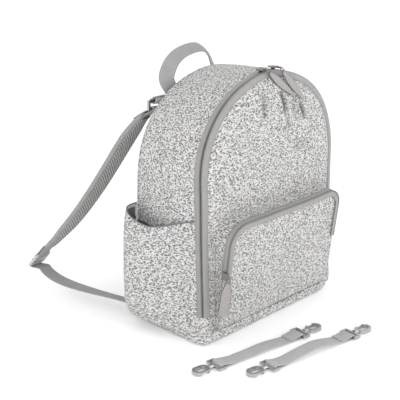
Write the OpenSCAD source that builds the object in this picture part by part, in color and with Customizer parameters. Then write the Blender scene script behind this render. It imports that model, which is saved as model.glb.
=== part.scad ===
// Backpack style diaper bag with a zip-open front, shoulder straps and two stroller straps.
// Millimetres, Z up, front towards -Y, origin at the middle of the base on the floor.

/* [Bag] */
// Width of the bag across the gusset
bag_w = 290; // [250:1:350]
// Height of the bag to the top of the arch
bag_h = 375; // [320:1:450]
// Depth of the bag at the base, zip plane to back face
bag_d = 130; // [110:1:170]
// Backward lean of the front, degrees
front_lean = 2; // [0:0.5:4]
// Thickness of the padded fabric walls
wall = 3; // [2.5:0.1:4]
// Height at which the main zip ends
zip_end_z = 44; // [40:1:60]

/* [Front pocket] */
// Width of the front pocket
pocket_w = 244; // [180:1:246]
// Height of the pocket along its face
pocket_h = 132; // [110:1:150]
// Depth of the pocket at its foot
pocket_foot = 13; // [10:1:16]
// Depth of the pocket at its top
pocket_top = 34; // [26:1:42]
// Corner radius of the pocket
pocket_r = 30; // [20:1:40]

/* [Side pockets] */
// How far a side pocket stands out from the side
side_out = 36; // [24:1:45]
// Height of the side pocket rim at the front
side_front_h = 190; // [150:1:200]
// Height of the side pocket rim at the back
side_back_h = 166; // [130:1:180]

/* [Handle and shoulder straps] */
// Distance between the legs of the carry handle
handle_span = 88; // [70:1:110]
// Height of the handle above its pivots
handle_rise = 66; // [56:1:80]
// Width of the padded shoulder strap
strap_w = 58; // [48:1:64]
// Thickness of the shoulder strap padding
strap_t = 9; // [7:0.5:10]
// How far the shoulder strap bows out behind the bag
strap_reach = 190; // [160:1:220]
// Width of the adjusting webbing
webbing_w = 25; // [20:1:25]
// Thickness of all webbing
webbing_t = 2; // [1.5:0.1:2.5]

/* [Stroller straps] */
// Length of the webbing between its two folds
clip_len = 152; // [120:1:200]
// Width of the stroller strap webbing
clip_w = 22; // [20:1:25]

/* [Hidden] */
$fn = 96;

print_grey = [0.79, 0.78, 0.78];
tape_grey = [0.55, 0.54, 0.53];
webbing_grey = [0.62, 0.62, 0.62];
lining_grey = [0.30, 0.30, 0.32];
metal_grey = [0.72, 0.71, 0.69];
pull_pink = [0.68, 0.64, 0.65];

arch_r = bag_w / 2;
arch_z = bag_h - arch_r;
eps = 0.01;

// Main zip: the two half chains face each other across a gap that the slider neck runs in.
neck_gap = 1.6;
chain_w = 2.2;
chain_rise = 0.6;
chain_sink = 1.8;
tape_w = 12;
panel_back = 1;
panel_front = 4;
tape_t = 1;
fold_gap = 0.6;
fold_y = -(panel_front + tape_t + 0.5);

// Sliders and pulls
slider_len = 11;
slider_gap = 0.5;
slider_t = 2.6;
slider_back = 5;
slider_front = -7;
slider_angle = 5;
pin_r = 1.2;
pin_gap = 0.3;
eye_r = 3.2;
pull_t = 2.6;
pull_w = 11;
link_len = 9;
main_pull_len = 60;
pocket_pull_len = 54;
pull_first_y = -9.4;
pull_step_y = 3.4;
main_pull_angle = 46;
pocket_pull_angle = -4;

// Front pocket
pocket_z = zip_end_z + 5;
pocket_wall_t = 2.2;
pocket_tilt = atan((pocket_top - pocket_foot) / pocket_h);
pocket_slider_z = 62;
pocket_chain_z = pocket_slider_z - 8;

// Side pockets
side_t = 2.2;
side_liner_t = 1.2;
side_floor = 12;
side_corner = 20;
side_front_out = 10;

// Back
foam_t = 8;
mesh_t = 6;
yoke_t = 2;
piping_r = 2.2;
piping_gap = 0.3;
inner_pocket_out = 14;
inner_pocket_h = 130;

// Carry handle
handle_w = 22;
handle_t = 3;
handle_x = -8;
handle_pivot_y = bag_d / 2 + yoke_t + 14;
handle_pivot_z = bag_h - 45;
handle_top_r = 24;

// Shoulder straps: each turns about the line from its foot anchor to its ring
strap_y = bag_d / 2 + 7;
foot_x = bag_w / 2 - 7;
foot_z = 22;
ring_x = bag_w / 2 - 50;
ring_z = bag_h - 45;
strap_tilt = atan((foot_x - ring_x) / (ring_z - foot_z));
strap_axis = sqrt(pow(foot_x - ring_x, 2) + pow(ring_z - foot_z, 2));
strap_splay = 14;
tab_w = webbing_w - 2;
tab_h = 14;
anchor_w = 16;
anchor_in = 9;
anchor_h = 28;
ring_t = 3.2;
ring_w = webbing_w + 9;
ring_h = 16;
ring_wire = 4;
lock_len = 24;
lock_t = 4;
lock_side = 4;
pad_foot_r = strap_reach - 17;
pad_foot_z = 52;

// Stroller straps
clip_turn = -8.6;
clip_front_at = [-45, -182];
clip_rear_at = [-93, -128];
clip_z = 4;
clip_t = 2.4;
sleeve_len = 14;
sleeve_h = 7;
bar_r = 1.7;
bar_gap = 0.3;
loop_wire = 3;
loop_len = 11;
post_r = 1.8;
post_gap = 0.15;
post_len = 6;
hook_t = 5;
hook_r = 9;
hook_bore = 5.4;
hook_mid = 14;
hook_len = 8;
barrel_r = 3.6;
gate_len = 14;
gate_w = 3.2;
gate_t = 2.8;
gate_gap = 0.35;

// ---- Outlines ----

// Front view of the bag: straight sides under a half circle, drawn in by an inset
module arch2d(inset, foot) {
  translate([-(arch_r - inset), foot]) square([2 * (arch_r - inset), arch_z - foot]);
  translate([0, arch_z]) half_disc(arch_r - inset);
}

// Upper half of a disc
module half_disc(r) {
  intersection() {
    circle(r = r);
    translate([-r, 0]) square([2 * r, r]);
  }
}

// Band between two insets of the bag outline, open at its foot
module arch_band2d(outer, inner, foot) {
  difference() {
    arch2d(outer, foot);
    arch2d(inner, foot - 1);
  }
}

// Front pocket outline with round upper corners
module pocket2d(inset, foot) {
  r = pocket_r - inset;
  half = pocket_w / 2 - inset;
  top = pocket_h - inset;
  difference() {
    union() {
      translate([-half, foot]) square([2 * half, top - r - foot]);
      translate([-half + r, foot]) square([2 * (half - r), top - foot]);
      for (s = [-1, 1]) translate([s * (half - r), top - r]) half_disc(r);
    }
  }
}

// Stands a drawing up in the XZ plane between two depths
module upright(y_front, y_back) {
  translate([0, y_back, 0]) rotate([90, 0, 0]) linear_extrude(y_back - y_front) children();
}

// Frame of the front: its y = 0 is the zip plane, and it leans back from the base
module on_front() {
  translate([0, -bag_d / 2, 0]) rotate([-front_lean, 0, 0]) children();
}

// Everything in front of a depth of the front frame
module front_of(y) {
  on_front() translate([-bag_w, y - bag_d, -bag_h]) cube([2 * bag_w, bag_d, 3 * bag_h]);
}

// Frame of the pocket face, which tips forward towards its top
module on_pocket() {
  on_front() translate([0, -(panel_front + pocket_foot), pocket_z]) rotate([pocket_tilt, 0, 0])
    children();
}

// Frame of a point on the arch at an angle from the top, +Z outwards
module on_arch(angle) {
  on_front() translate([0, 0, arch_z]) rotate([0, angle, 0]) translate([0, 0, arch_r]) children();
}

// ---- Bag shell ----

module gusset() {
  color(print_grey) difference() {
    upright(-bag_d / 2 - wall, bag_d / 2) arch_band2d(0, wall, 0);
    front_of(tape_w);
  }
}

module back_panel() {
  color(print_grey) upright(bag_d / 2 - wall, bag_d / 2) arch2d(wall, wall);
}

module bottom_panel() {
  color(print_grey) difference() {
    translate([-(arch_r - wall), -bag_d / 2 - wall, 0]) cube([2 * (arch_r - wall), bag_d + wall, wall]);
    front_of(-panel_back);
  }
}

module base_board() {
  color(lining_grey) difference() {
    translate([-(arch_r - wall - 6), -bag_d / 2, wall])
      cube([2 * (arch_r - wall - 6), bag_d - wall - foam_t - 2, 2.5]);
    front_of(8);
  }
}

module front_base_band() {
  color(print_grey) on_front() upright(-panel_front - tape_t, -panel_back)
    translate([-(arch_r - wall), 0.2]) square([2 * (arch_r - wall), zip_end_z - 0.2]);
}

module zip_end_patches() {
  color(print_grey) on_front() for (s = [-1, 1])
    translate([s * (arch_r - wall / 2) - wall / 2, -panel_front - tape_t, 0.2])
      cube([wall, tape_w + panel_front + tape_t, zip_end_z - 0.2]);
}

module back_foam() {
  color("white") upright(bag_d / 2 - wall - foam_t, bag_d / 2 - wall) arch2d(wall + 5, wall + 5);
}

module back_mesh_pad() {
  half = bag_w / 2 - 52;
  foot = 70;
  top = bag_h - 90;
  r = 26;
  color(tape_grey) upright(bag_d / 2, bag_d / 2 + mesh_t) union() {
    translate([-half, foot + r]) square([2 * half, top - foot - 2 * r]);
    translate([-half + r, foot]) square([2 * (half - r), top - foot]);
    for (x = [-1, 1], z = [foot + r, top - r]) translate([x * (half - r), z]) circle(r = r);
  }
}

// Cord along the back seam, left out where a sewn tab or anchor crosses it
module back_piping() {
  z0 = wall + piping_r;
  color(print_grey) difference() {
    translate([0, bag_d / 2 + piping_r, 0]) {
      translate([0, 0, arch_z]) rotate([90, 0, 0]) rotate_extrude(angle = 180)
        translate([arch_r - piping_r, 0]) circle(r = piping_r);
      for (s = [-1, 1]) translate([s * (arch_r - piping_r), 0, z0])
        cylinder(r = piping_r, h = arch_z - z0);
    }
    for (s = [-1, 1]) translate([s * ring_x - tab_w / 2 - piping_gap, bag_d / 2, ring_z - 1 - piping_gap])
      cube([tab_w + 2 * piping_gap, 3 * piping_r, tab_h + 2 * piping_gap]);
    for (s = [-1, 1]) translate([s * foot_x - bag_w / 4, bag_d / 2, foot_z - anchor_h / 2 - piping_gap])
      cube([bag_w / 2, 3 * piping_r, anchor_h + 2 * piping_gap]);
  }
}

module interior_lining() {
  color(lining_grey) difference() {
    upright(-bag_d / 2, bag_d / 2 - wall - foam_t) arch_band2d(wall, wall + 1, wall);
    front_of(tape_w + 2);
  }
}

module inner_pocket_row() {
  half = bag_w / 2 - 24;
  y0 = bag_d / 2 - wall - foam_t - inner_pocket_out;
  cell = 2 * half / 3;
  color(lining_grey) difference() {
    translate([-half, y0, wall + 5]) cube([2 * half, inner_pocket_out, inner_pocket_h]);
    for (i = [0:2]) translate([-half + i * cell + 1, y0 + 1.2, wall + 6.5])
      cube([cell - 2, inner_pocket_out - 2.2, inner_pocket_h]);
  }
}

module gusset_zip_tape() {
  color(tape_grey) on_front() upright(neck_gap / 2 + chain_w, tape_w)
    arch_band2d(0.2, 1.6, zip_end_z);
}

module gusset_zip_chain() {
  color(tape_grey) on_front() upright(neck_gap / 2, neck_gap / 2 + chain_w)
    arch_band2d(-chain_rise, chain_sink, zip_end_z);
}

// ---- Side pockets ----

// Plan of a side pocket, drawn in by an inset: narrow at the zip, deep with a round corner at the back
module side_plan(inset) {
  out = side_out - inset;
  back = bag_d / 2 - 1 - inset;
  front = -bag_d / 2 + inset;
  r = side_corner - inset;
  polygon(concat(
    [[0, back], [0, front], [side_front_out - inset, front + 4], [out, -bag_d / 2 + 80]],
    [for (a = [0:15:90]) [out - r + r * cos(a), back - r + r * sin(a)]]
  ));
}

// Solid side pocket block under its sloping rim, standing out to -X
module side_block(inset, floor, drop) {
  slope = atan((side_front_h - side_back_h) / bag_d);
  difference() {
    translate([-arch_r, 0, floor]) mirror([1, 0, 0]) linear_extrude(bag_h) side_plan(inset);
    translate([0, -bag_d / 2, side_front_h - drop]) rotate([-slope, 0, 0])
      translate([-bag_w, -bag_d, 0]) cube([bag_w, 3 * bag_d, bag_h]);
    front_of(tape_w + 0.5 + inset);
  }
}

module side_pocket(s) {
  color(print_grey) scale_side(s) difference() {
    side_block(0, side_floor, 0);
    side_block(side_t, side_floor + side_t, -20);
  }
}

module side_lining(s) {
  color(lining_grey) scale_side(s) difference() {
    side_block(side_t, side_floor + side_t, 1);
    side_block(side_t + side_liner_t, side_floor + side_t + side_liner_t, -20);
  }
}

// Left side as drawn, right side mirrored
module scale_side(s) {
  if (s < 0) children();
  else mirror([1, 0, 0]) children();
}

module side_pocket_left() side_pocket(-1);
module side_pocket_right() side_pocket(1);
module side_lining_left() side_lining(-1);
module side_lining_right() side_lining(1);

// ---- Yoke, rings and anchors on the back ----

module yoke() {
  half = ring_x + 2;
  color(print_grey) upright(bag_d / 2, bag_d / 2 + yoke_t) intersection() {
    translate([-half, bag_h - 84]) square([2 * half, 60]);
    arch2d(2 * piping_r + piping_gap, 0);
  }
  color(webbing_grey) for (s = [-1, 1])
    translate([handle_x + s * (handle_span + handle_t) / 2 - 1.5, bag_d / 2 + yoke_t, handle_pivot_z - 30])
      cube([handle_t, handle_w, 17]);
}

module strap_rings() {
  color(metal_grey) for (s = [-1, 1])
    translate([s * ring_x, strap_y - ring_t / 2, ring_z - ring_h - 1]) rotate([90, 0, 0])
      translate([0, 0, -ring_t]) linear_extrude(ring_t) difference() {
        translate([-ring_w / 2, 0]) square([ring_w, ring_h]);
        translate([-ring_w / 2 + ring_wire, ring_wire]) square([ring_w - 2 * ring_wire, ring_h - 2 * ring_wire]);
      }
}

module ring_tabs() {
  color(webbing_grey) for (s = [-1, 1])
    translate([s * ring_x - tab_w / 2, bag_d / 2 + yoke_t, ring_z - 1])
      cube([tab_w, strap_y - bag_d / 2 - yoke_t + 2, tab_h]);
}

module strap_anchors() {
  color(print_grey) for (s = [-1, 1])
    translate([s * foot_x - (s > 0 ? anchor_in : anchor_w - anchor_in), bag_d / 2, foot_z - anchor_h / 2])
      cube([anchor_w, strap_y - bag_d / 2 - 3, anchor_h]);
}

// ---- Front panel and pocket ----

module front_panel() {
  color(print_grey) on_front() upright(-panel_front, -panel_back)
    arch2d(chain_sink + 0.2, zip_end_z + fold_gap);
}

module front_lining() {
  color(lining_grey) on_front() upright(-panel_back, -0.2) arch2d(8, zip_end_z + fold_gap + 2);
}

module panel_zip_tape() {
  color(tape_grey) on_front() upright(-panel_front - tape_t, -panel_front)
    arch_band2d(1.8, 13, zip_end_z + fold_gap);
}

module panel_zip_chain() {
  color(tape_grey) on_front() upright(-neck_gap / 2 - chain_w, -neck_gap / 2)
    arch_band2d(-chain_rise, chain_sink, zip_end_z + fold_gap);
}

module pocket_wall() {
  color(print_grey) difference() {
    on_pocket() upright(0.2, 3 * pocket_top) difference() {
      pocket2d(0, 0);
      pocket2d(pocket_wall_t, pocket_wall_t);
    }
    on_front() translate([-bag_w, -panel_front, 0]) cube([2 * bag_w, bag_d, bag_h]);
  }
}

module pocket_face() {
  color(print_grey) on_pocket() upright(-pocket_wall_t, 0) pocket2d(0.4, 0);
}

module pocket_zip_tape() {
  color(tape_grey) on_pocket() upright(-pocket_wall_t - 1, -pocket_wall_t) difference() {
    pocket2d(0.4, pocket_chain_z);
    pocket2d(9, pocket_chain_z - 1);
  }
}

module badge() {
  color(print_grey) on_front() translate([bag_w * 0.19, -panel_front, arch_z + 28])
    rotate([90, 0, 0]) cylinder(r = 7, h = 1);
}

// ---- Sliders and pulls ----

// Main slider: plate outside the chain, neck between the half chains, pin for the pull in front
module main_slider(angle, pin_end) {
  color(metal_grey) on_arch(angle) {
    translate([-slider_len / 2, slider_front, chain_rise + slider_gap])
      cube([slider_len, slider_back - slider_front, slider_t]);
    translate([-slider_len / 2 + 1.5, -0.4, -chain_sink]) cube([slider_len - 3, 0.8, chain_sink + 2]);
    translate([0, slider_front + eps, chain_rise + slider_gap + pin_r]) rotate([90, 0, 0])
      cylinder(r = pin_r, h = slider_front - pin_end);
  }
}

// Pull drawn from its eye downwards, then leather tab with a round end
module pull2d(len) {
  difference() {
    union() {
      circle(r = eye_r);
      translate([-2, -link_len]) square([4, link_len]);
      translate([-pull_w / 2, -len + pull_w / 2]) square([pull_w, len - link_len - pull_w / 2 + 1]);
      translate([0, -len + pull_w / 2]) circle(r = pull_w / 2);
    }
    circle(r = pin_r + pin_gap);
  }
}

module main_pull(angle, y) {
  color(pull_pink) on_arch(angle) translate([0, 0, chain_rise + slider_gap + pin_r])
    rotate([0, -angle - main_pull_angle, 0]) upright(y - pull_t, y) pull2d(main_pull_len);
}

left_pull_y = pull_first_y;
right_pull_y = pull_first_y - pull_step_y;

module main_slider_left() main_slider(-slider_angle, left_pull_y - pull_t - 0.6);
module main_slider_right() main_slider(slider_angle, right_pull_y - pull_t - 0.6);
module main_pull_left() main_pull(-slider_angle, left_pull_y);
module main_pull_right() main_pull(slider_angle, right_pull_y);

// Frame of the pocket slider on the left edge of the pocket face
module on_pocket_slider() {
  on_pocket() translate([-pocket_w / 2, 0, pocket_slider_z]) children();
}

module pocket_slider() {
  color(metal_grey) on_pocket_slider() {
    translate([-0.4 - slider_t, slider_front, -slider_len / 2])
      cube([slider_t, 4 - slider_front, slider_len]);
    translate([-0.4 - slider_t / 2, slider_front + eps, 0]) rotate([90, 0, 0])
      cylinder(r = pin_r, h = pull_t + 1.2);
  }
}

module pocket_pull() {
  color(pull_pink) on_pocket_slider() translate([-0.4 - slider_t / 2, 0, 0])
    rotate([0, -pocket_pull_angle, 0])
      upright(slider_front - 0.5 - pull_t, slider_front - 0.5) pull2d(pocket_pull_len);
}

// ---- Carry handle ----

module handle2d(t) {
  half = handle_span / 2 + t;
  r = handle_top_r + t;
  top = handle_rise - handle_t + t;
  translate([-half, -4]) square([2 * half, top - r + 4]);
  translate([-half + r, -4]) square([2 * (half - r), top + 4]);
  for (s = [-1, 1]) translate([s * (half - r), top - r]) circle(r = r);
}

module carry_handle() {
  color(webbing_grey) translate([handle_x, handle_pivot_y, handle_pivot_z])
    upright(-handle_w / 2, handle_w / 2) difference() {
      handle2d(handle_t);
      translate([0, -eps]) handle2d(0);
      translate([-bag_w, -10]) square([2 * bag_w, 8]);
    }
}

// ---- Shoulder straps ----

// Frame of a strap: x across the strap, y outwards from its axis, z up the axis from the foot anchor
module on_strap(s) {
  translate([s * foot_x, strap_y, foot_z]) rotate([0, -s * strap_tilt, 0])
    rotate([0, 0, -s * strap_splay]) children();
}

function curve_at(c, t) = pow(1 - t, 3) * c[0] + 3 * pow(1 - t, 2) * t * c[1]
  + 3 * (1 - t) * t * t * c[2] + t * t * t * c[3];
function curve_way(c, t) = 3 * pow(1 - t, 2) * (c[1] - c[0]) + 6 * (1 - t) * t * (c[2] - c[1])
  + 3 * t * t * (c[3] - c[2]);
function beside(c, t, off) = curve_at(c, t)
  + off * [-curve_way(c, t)[1], curve_way(c, t)[0]] / norm(curve_way(c, t));

// Flat band of a given width that follows a curve, between two offsets from it
module ribbon(c, off_a, off_b, width, steps) {
  rotate([90, 0, 90]) translate([0, 0, -width / 2]) linear_extrude(width) polygon(concat(
    [for (i = [0:steps]) beside(c, i / steps, off_a)],
    [for (i = [steps:-1:0]) beside(c, i / steps, off_b)]
  ));
}

pad_curve = [
  [26, strap_axis - 44], [54, strap_axis - 84], [0.5 * strap_reach, 0.45 * strap_axis],
  [pad_foot_r, pad_foot_z]
];
top_curve = [
  [5, strap_axis - 21], [10, strap_axis - 27], [18, strap_axis - 35], [25.2, strap_axis - 43]
];
end_curve = [
  [pad_foot_r + 1, pad_foot_z - 1.4], [pad_foot_r + 4, pad_foot_z - 6],
  [pad_foot_r + 7, pad_foot_z - 10], [pad_foot_r + 10, pad_foot_z - 14]
];
lower_curve = [
  [strap_reach - 4, 20], [strap_reach - 28, -8], [0.6 * strap_reach, -6], [8, 0]
];

module strap_pad(s) {
  color(webbing_grey) on_strap(s) ribbon(pad_curve, -strap_t / 2 + 1.2, strap_t / 2, strap_w, 20);
}

module strap_mesh(s) {
  color(tape_grey) on_strap(s) ribbon(pad_curve, -strap_t / 2, -strap_t / 2 + 1.2, strap_w - 6, 20);
}

module strap_ends(s) {
  color(webbing_grey) on_strap(s) {
    ribbon(top_curve, -webbing_t / 2, webbing_t / 2, webbing_w, 6);
    ribbon(end_curve, -webbing_t / 2, webbing_t / 2, webbing_w, 6);
  }
}

// Ladder lock: a frame with two slots and a bar between them
module ladder_lock(s) {
  outer = webbing_w + 2 * lock_side + 1;
  color(metal_grey) on_strap(s) translate([0, pad_foot_r + 11, pad_foot_z - 15.4]) rotate([36, 0, 0])
    translate([0, 0, -lock_len]) rotate([90, 0, 0]) translate([0, 0, -lock_t / 2])
      linear_extrude(lock_t) difference() {
        translate([-outer / 2, 0]) square([outer, lock_len]);
        for (z = [3.5, 13.5]) translate([-outer / 2 + lock_side, z])
          square([outer - 2 * lock_side, 7]);
      }
}

module lower_webbing(s) {
  color(webbing_grey) on_strap(s)
    ribbon(lower_curve, -webbing_t / 2, webbing_t / 2, webbing_w, 20);
}

module strap_pad_left() strap_pad(-1);
module strap_mesh_left() strap_mesh(-1);
module strap_ends_left() strap_ends(-1);
module ladder_lock_left() ladder_lock(-1);
module lower_webbing_left() lower_webbing(-1);
module strap_pad_right() strap_pad(1);
module strap_mesh_right() strap_mesh(1);
module strap_ends_right() strap_ends(1);
module ladder_lock_right() ladder_lock(1);
module lower_webbing_right() lower_webbing(1);

// ---- Stroller straps ----

module on_clip(at) {
  translate([at[0], at[1], clip_z]) rotate([0, 0, clip_turn]) children();
}

// Far end of a stroller strap: +x points away from the middle of the webbing
module clip_end(s) {
  if (s > 0) translate([clip_len / 2, 0, 0]) children();
  else rotate([0, 0, 180]) translate([clip_len / 2, 0, 0]) children();
}

module stroller_webbing(at) {
  color(webbing_grey) on_clip(at) {
    translate([-clip_len / 2 + sleeve_len - 0.5, -clip_w / 2, -clip_t / 2])
      cube([clip_len - 2 * sleeve_len + 1, clip_w, clip_t]);
    for (s = [-1, 1]) clip_end(s) difference() {
      translate([-sleeve_len, -clip_w / 2, -sleeve_h / 2]) cube([sleeve_len, clip_w, sleeve_h]);
      translate([-3.5, 0, 0]) rotate([90, 0, 0])
        cylinder(r = bar_r + bar_gap, h = 2 * clip_w, center = true);
    }
  }
}

// Swivel eye: bar in the folded webbing, two arms, a cross piece and the post that the hook turns on
module swivel_eyes(at) {
  wide = clip_w + 2 * loop_wire + 0.8;
  color(metal_grey) on_clip(at) for (s = [-1, 1]) clip_end(s) {
    translate([-3.5, 0, 0]) rotate([90, 0, 0]) cylinder(r = bar_r, h = wide - 0.4, center = true);
    for (y = [-1, 1]) translate([-3.5 - bar_r, y * (wide - loop_wire) / 2 - loop_wire / 2, -bar_r])
      cube([loop_len + bar_r, loop_wire, 2 * bar_r]);
    translate([loop_len - 3.5 - loop_wire, -wide / 2, -bar_r]) cube([loop_wire, wide, 2 * bar_r]);
    translate([loop_len - 3.5 - eps, 0, 0]) rotate([0, 90, 0]) cylinder(r = post_r, h = post_len);
  }
}

// Frame of a hook: x away from the swivel, y across the hook, z through its thickness
module on_hook(at, s) {
  on_clip(at) clip_end(s) translate([loop_len - 3.5 + 0.4, 0, 0]) children();
}

module hook(at, s) {
  barrel = post_len + 1.5;
  gate_x = barrel + 2.4;
  color(metal_grey) on_hook(at, s) {
    difference() {
      union() {
        rotate([0, 90, 0]) cylinder(r = barrel_r, h = barrel);
        translate([0, 0, -hook_t / 2]) linear_extrude(hook_t) difference() {
          union() {
            for (x = [0, hook_len]) translate([barrel + 8 + x, 0]) circle(r = hook_r);
            translate([barrel + 8, -hook_r]) square([hook_len, 2 * hook_r]);
          }
          for (x = [0, hook_len]) translate([barrel + 8 + x, 0]) circle(r = hook_bore);
          translate([barrel + 8, -hook_bore]) square([hook_len, 2 * hook_bore]);
          translate([gate_x + 4, 3]) square([gate_len - 3.6, hook_r]);
        }
      }
      translate([-eps, 0, 0]) rotate([0, 90, 0]) cylinder(r = post_r + post_gap, h = post_len + 0.4);
      translate([gate_x - 2.4, 2.4, -gate_t / 2 - gate_gap]) cube([6.6, hook_r, gate_t + 2 * gate_gap]);
    }
    translate([gate_x, 5.6, 0]) cylinder(r = 0.9, h = hook_t - 0.4, center = true);
  }
}

module gate(at, s) {
  gate_x = post_len + 1.5 + 2.4;
  color(metal_grey) on_hook(at, s) translate([gate_x, 5.6, -gate_t / 2]) linear_extrude(gate_t)
    difference() {
      union() {
        circle(r = 1.8);
        translate([0, -gate_w / 2 + 0.2]) square([gate_len - 0.4, gate_w]);
      }
      circle(r = 1.2);
    }
}

module stroller_webbing_front() stroller_webbing(clip_front_at);
module stroller_webbing_rear() stroller_webbing(clip_rear_at);
module swivel_eyes_front() swivel_eyes(clip_front_at);
module swivel_eyes_rear() swivel_eyes(clip_rear_at);
module hook_front_left() hook(clip_front_at, -1);
module hook_front_right() hook(clip_front_at, 1);
module gate_front_left() gate(clip_front_at, -1);
module gate_front_right() gate(clip_front_at, 1);
module hook_rear_left() hook(clip_rear_at, -1);
module hook_rear_right() hook(clip_rear_at, 1);
module gate_rear_left() gate(clip_rear_at, -1);
module gate_rear_right() gate(clip_rear_at, 1);

gusset();
back_panel();
bottom_panel();
base_board();
front_base_band();
zip_end_patches();
back_foam();
back_mesh_pad();
back_piping();
interior_lining();
inner_pocket_row();
gusset_zip_tape();
gusset_zip_chain();
side_pocket_left();
side_pocket_right();
side_lining_left();
side_lining_right();
yoke();
strap_rings();
ring_tabs();
strap_anchors();
front_panel();
front_lining();
panel_zip_tape();
panel_zip_chain();
pocket_wall();
pocket_face();
pocket_zip_tape();
badge();
main_slider_left();
main_slider_right();
main_pull_left();
main_pull_right();
pocket_slider();
pocket_pull();
carry_handle();
strap_pad_left();
strap_mesh_left();
strap_ends_left();
ladder_lock_left();
lower_webbing_left();
strap_pad_right();
strap_mesh_right();
strap_ends_right();
ladder_lock_right();
lower_webbing_right();
stroller_webbing_front();
swivel_eyes_front();
hook_front_left();
hook_front_right();
gate_front_left();
gate_front_right();
stroller_webbing_rear();
swivel_eyes_rear();
hook_rear_left();
hook_rear_right();
gate_rear_left();
gate_rear_right();
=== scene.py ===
"""Backpack style diaper bag with two stroller straps: print cloth shell, zips, webbing and metal in their
finished looks."""

import math

import bmesh
import bpy
import numpy as np
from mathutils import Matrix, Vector


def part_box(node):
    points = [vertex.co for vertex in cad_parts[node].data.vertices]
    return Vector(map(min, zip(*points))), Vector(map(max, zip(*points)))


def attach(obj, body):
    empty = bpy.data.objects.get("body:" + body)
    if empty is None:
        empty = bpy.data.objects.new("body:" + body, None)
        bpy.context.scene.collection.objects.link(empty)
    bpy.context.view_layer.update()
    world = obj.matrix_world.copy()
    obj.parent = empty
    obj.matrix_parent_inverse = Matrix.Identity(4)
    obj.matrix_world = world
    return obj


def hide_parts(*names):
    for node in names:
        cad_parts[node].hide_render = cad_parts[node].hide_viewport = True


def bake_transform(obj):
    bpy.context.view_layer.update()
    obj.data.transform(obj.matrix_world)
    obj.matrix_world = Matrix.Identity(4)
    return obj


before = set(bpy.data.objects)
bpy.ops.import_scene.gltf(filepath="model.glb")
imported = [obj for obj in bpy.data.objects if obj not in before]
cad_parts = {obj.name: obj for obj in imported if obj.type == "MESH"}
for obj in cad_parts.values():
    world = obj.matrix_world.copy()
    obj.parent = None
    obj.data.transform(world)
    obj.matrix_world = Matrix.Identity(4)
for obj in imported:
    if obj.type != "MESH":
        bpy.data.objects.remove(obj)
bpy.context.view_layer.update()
MM = 0.001


def corner(node):
    """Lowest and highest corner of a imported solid, in millimetres."""
    lo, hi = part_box(node)
    return np.array(lo) / MM, np.array(hi) / MM


# ---- Sizes, in millimetres ----
gusset_hi = corner("gusset")[1]
back_hi = corner("back_panel")[1]
mesh_lo, mesh_hi = corner("back_mesh_pad")
HALF = gusset_hi[0]
TOP = gusset_hi[2]
BACK = back_hi[1]
ARCH_Z = TOP - HALF
LEAN = math.radians(2)
ZIP_END = 44.0
SEAM_Z = 17.0
PANEL_FRONT = -4.0
POCKET_HALF = 122.0
POCKET_TOP = 132.0
POCKET_R = 30.0
POCKET_FOOT = 13.0
POCKET_Z = 49.0
POCKET_TILT = math.atan(21 / 132)
SLIDER_Z = 62.0
STRAP_Y = BACK + 7
FOOT_X, FOOT_Z = 138.0, 22.0
RING_X, RING_Z = 95.0, 330.0
STRAP_TILT = math.atan((FOOT_X - RING_X) / (RING_Z - FOOT_Z))
STRAP_AXIS = math.hypot(FOOT_X - RING_X, RING_Z - FOOT_Z)
STRAP_SPLAY = math.radians(14)
STRAP_REACH = 190.0
HANDLE_Y, HANDLE_Z = BACK + 16, TOP - 45
CLIP_LEN, CLIP_W, CLIP_Z = 152.0, 22.0, 4.0
CLIP_TURN = math.radians(-8.6)
CLIPS = {"front": (-45.0, -182.0), "rear": (-93.0, -128.0)}


# ---- Frames: points given in a part's own frame, placed in the bag's ----
def bag(x, y, z):
    """Points in the bag's own frame, as one array."""
    return np.stack(np.broadcast_arrays(*[np.asarray(v, float) for v in (x, y, z)]), -1)


def front(x, y, z):
    """Front frame: turned about X by the lean, then moved to the zip plane."""
    x, y, z = np.asarray(x, float), np.asarray(y, float), np.asarray(z, float)
    c, s = math.cos(LEAN), math.sin(LEAN)
    return bag(x, -BACK + y * c + z * s, -y * s + z * c)


def pocket(x, y, z):
    """Pocket frame: tipped forward about the pocket's foot, then placed in the front frame. Its loose right
    corner
    stands a little further out and up than the left one, which the slider holds."""
    x, y, z = np.asarray(x, float), np.asarray(y, float), np.asarray(z, float)
    x, z = x + 3.2 * ease(45, 122, x), z + 3.0 * ease(45, 122, x) * ease(30, 132, z)
    c, s = math.cos(POCKET_TILT), math.sin(POCKET_TILT)
    return front(x, PANEL_FRONT - POCKET_FOOT + y * c - z * s, POCKET_Z + y * s + z * c)


def strap(side, x, y, z):
    """Strap frame: x across, y out from the line between anchor and ring, z along that line."""
    x, y, z = np.asarray(x, float), np.asarray(y, float), np.asarray(z, float)
    a, b = -side * STRAP_SPLAY, -side * STRAP_TILT
    x, y = x * math.cos(a) - y * math.sin(a), x * math.sin(a) + y * math.cos(a)
    x, z = x * math.cos(b) + z * math.sin(b), -x * math.sin(b) + z * math.cos(b)
    return bag(side * FOOT_X + x, STRAP_Y + y, FOOT_Z + z)


def clip(at, x, y, z):
    """Stroller strap frame: x along the webbing, turned about Z on the floor."""
    x, y, z = np.asarray(x, float), np.asarray(y, float), np.asarray(z, float)
    c, s = math.cos(CLIP_TURN), math.sin(CLIP_TURN)
    return bag(at[0] + x * c - y * s, at[1] + x * s + y * c, CLIP_Z + z)


# ---- Small sums used by many shapes ----
def ease(a, b, t):
    """0 below a, 1 above b, and a smooth cubic between."""
    t = np.clip((np.asarray(t, float) - a) / (b - a), 0, 1)
    return t * t * (3 - 2 * t)


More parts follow.
